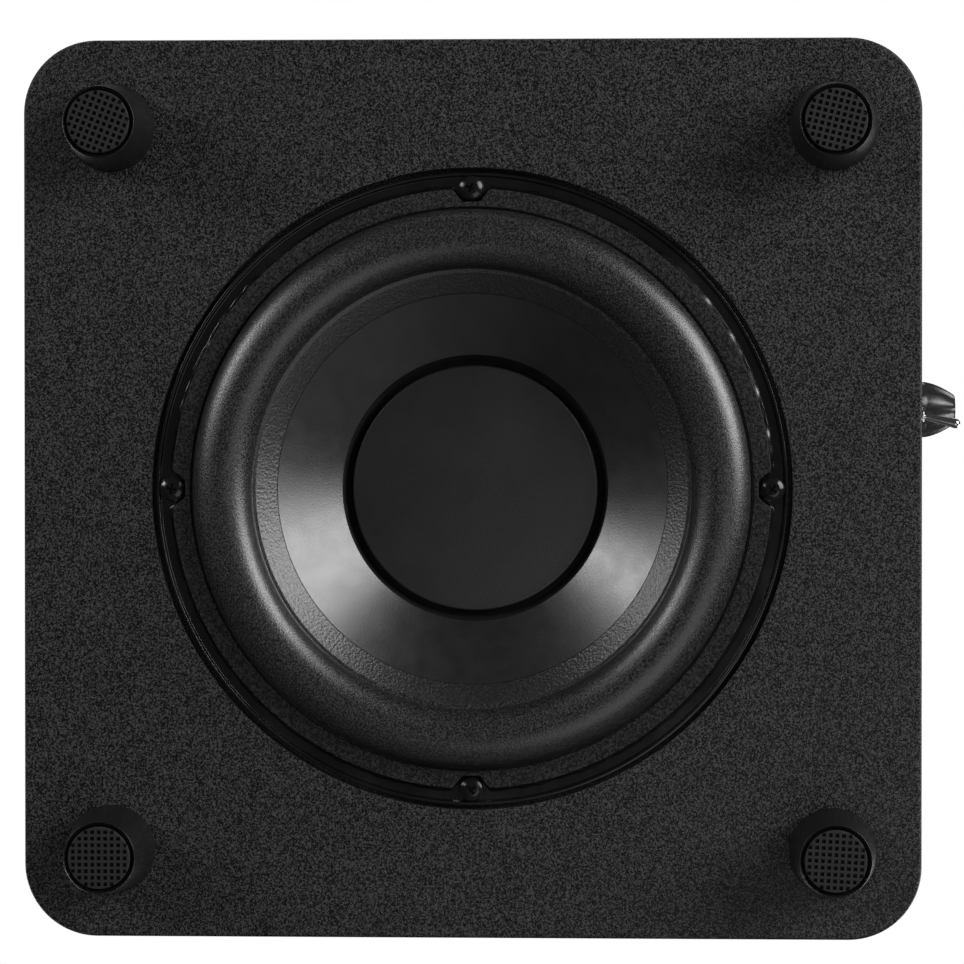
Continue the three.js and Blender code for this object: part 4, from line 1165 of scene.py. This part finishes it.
def make_floor():
    """A pale floor that only the camera sees, only from above, fading into the white round it."""
    material = bpy.data.materials.new("pale_floor")
    material.use_nodes = True
    tree = material.node_tree
    shader = tree.nodes["Principled BSDF"]
    shader.inputs["Base Color"].default_value = (0.93, 0.93, 0.93, 1)
    shader.inputs["Roughness"].default_value = 0.9
    side = add_node(tree, "ShaderNodeNewGeometry")
    place = add_node(tree, "ShaderNodeTexCoord")
    away = add_node(tree, "ShaderNodeVectorMath")
    away.operation = "LENGTH"
    fade = add_node(tree, "ShaderNodeMapRange", From_Min=0.35, From_Max=1.0)
    fade.interpolation_type = "SMOOTHSTEP"
    unseen = add_node(tree, "ShaderNodeMath")
    unseen.operation = "MAXIMUM"
    clear = add_node(tree, "ShaderNodeBsdfTransparent")
    mix = add_node(tree, "ShaderNodeMixShader")
    join_all(
        tree,
        (place.outputs["Object"], away.inputs[0]),
        (away.outputs["Value"], fade.inputs["Value"]),
        (side.outputs["Backfacing"], unseen.inputs[0]),
        (fade.outputs["Result"], unseen.inputs[1]),
        (unseen.outputs["Value"], mix.inputs["Fac"]),
        (shader.outputs["BSDF"], mix.inputs[1]),
        (clear.outputs["BSDF"], mix.inputs[2]),
        (mix.outputs["Shader"], tree.nodes["Material Output"].inputs["Surface"]),
    )
    data = bmesh.new()
    bmesh.ops.create_grid(data, x_segments=1, y_segments=1, size=6)
    mesh = bpy.data.meshes.new("floor")
    data.to_mesh(mesh)
    data.free()
    mesh.materials.append(material)
    floor = placed("floor", mesh)
    floor.location.z = -0.3 * MM
    for ray in ("diffuse", "glossy", "transmission", "volume_scatter", "shadow"):
        setattr(floor, f"visible_{ray}", False)


def make_world():
    """White for the camera, and a much dimmer even light for the object itself."""
    world = bpy.data.worlds.new("studio")
    bpy.context.scene.world = world
    world.use_nodes = True
    tree = world.node_tree
    white = tree.nodes["Background"]
    white.inputs["Color"].default_value = (1, 1, 1, 1)
    white.inputs["Strength"].default_value = 1.0
    dim = add_node(tree, "ShaderNodeBackground", Color=(1, 1, 1, 1), Strength=0.06)
    path = add_node(tree, "ShaderNodeLightPath")
    mix = add_node(tree, "ShaderNodeMixShader")
    join_all(
        tree,
        (path.outputs["Is Camera Ray"], mix.inputs["Fac"]),
        (dim.outputs["Background"], mix.inputs[1]),
        (white.outputs["Background"], mix.inputs[2]),
        (mix.outputs["Shader"], tree.nodes["World Output"].inputs["Surface"]),
    )


def soft_box(name, direction, distance, size, power, target):
    """A rectangular light that the camera doesn't see, facing its target."""
    data = bpy.data.lights.new(name, "AREA")
    data.shape = "RECTANGLE"
    data.size, data.size_y = size
    data.energy = power
    lamp = placed(name, data)
    direction = Vector(direction).normalized()
    lamp.location = target + direction * distance
    lamp.rotation_mode = "QUATERNION"
    lamp.rotation_quaternion = direction.to_track_quat("Z", "Y")
    lamp.visible_camera = False


def make_lights():
    under = CABINET + Vector((0, 0, BAFFLE_LOW))
    body = CABINET + Vector((0, 0, (BAFFLE_LOW + TOP_HIGH) / 2))
    for light in [
        ("under_rear", (0.392, 0.840, -0.375), 2.0, (1.3, 1.3), 50, under),
        ("under_front", (0.407, -0.834, -0.375), 2.0, (0.55, 0.55), 13, under),
        ("under_spot", (0.34, -0.66, -0.67), 2.0, (0.45, 0.45), 3, under),
        ("under_fill", (-0.42, 0.36, -0.83), 0.95, (0.6, 0.6), 1.3, under),
        ("under_left", (-0.85, 0.15, -0.5), 2.2, (2.4, 2.4), 1.6, under),
        ("overhead", (0.1, -0.25, 1.0), 1.9, (1.6, 1.6), 28, body),
        ("front_key", (-0.75, -1.0, 0.55), 2.0, (1.2, 1.2), 30, body),
        ("right_fill", (1.0, -0.15, 0.3), 2.2, (1.2, 1.4), 14, body),
        ("rear_key", (-0.6, 1.0, 0.5), 2.0, (1.2, 1.2), 34, body),
    ]:
        soft_box(*light)


def make_camera():
    """Seen square on from below. Image right is +Y and image up is +X."""
    distance = 47 * BAFFLE_LOW
    eye = CABINET + Vector((23.5 * MM, 79.6 * MM, BAFFLE_LOW - distance))
    aim = CABINET + Vector((11.3 * MM, 34.3 * MM, BAFFLE_LOW))
    camera = placed("camera", bpy.data.cameras.new("camera"))
    camera.data.lens = 134.1
    camera.data.sensor_width = 36
    camera.data.shift_x = -0.097
    camera.data.shift_y = -0.0284
    camera.data.clip_end = 50
    back = (eye - aim).normalized()
    right = Vector((1, 0, 0)).cross(back).normalized()
    up = back.cross(right)
    pose = Matrix((right, up, back)).transposed().to_4x4()
    camera.matrix_world = Matrix.Translation(eye) @ pose
    bpy.context.scene.camera = camera


make_floor()
make_world()
make_lights()
make_camera()
bpy.context.scene.view_settings.view_transform = "Standard"
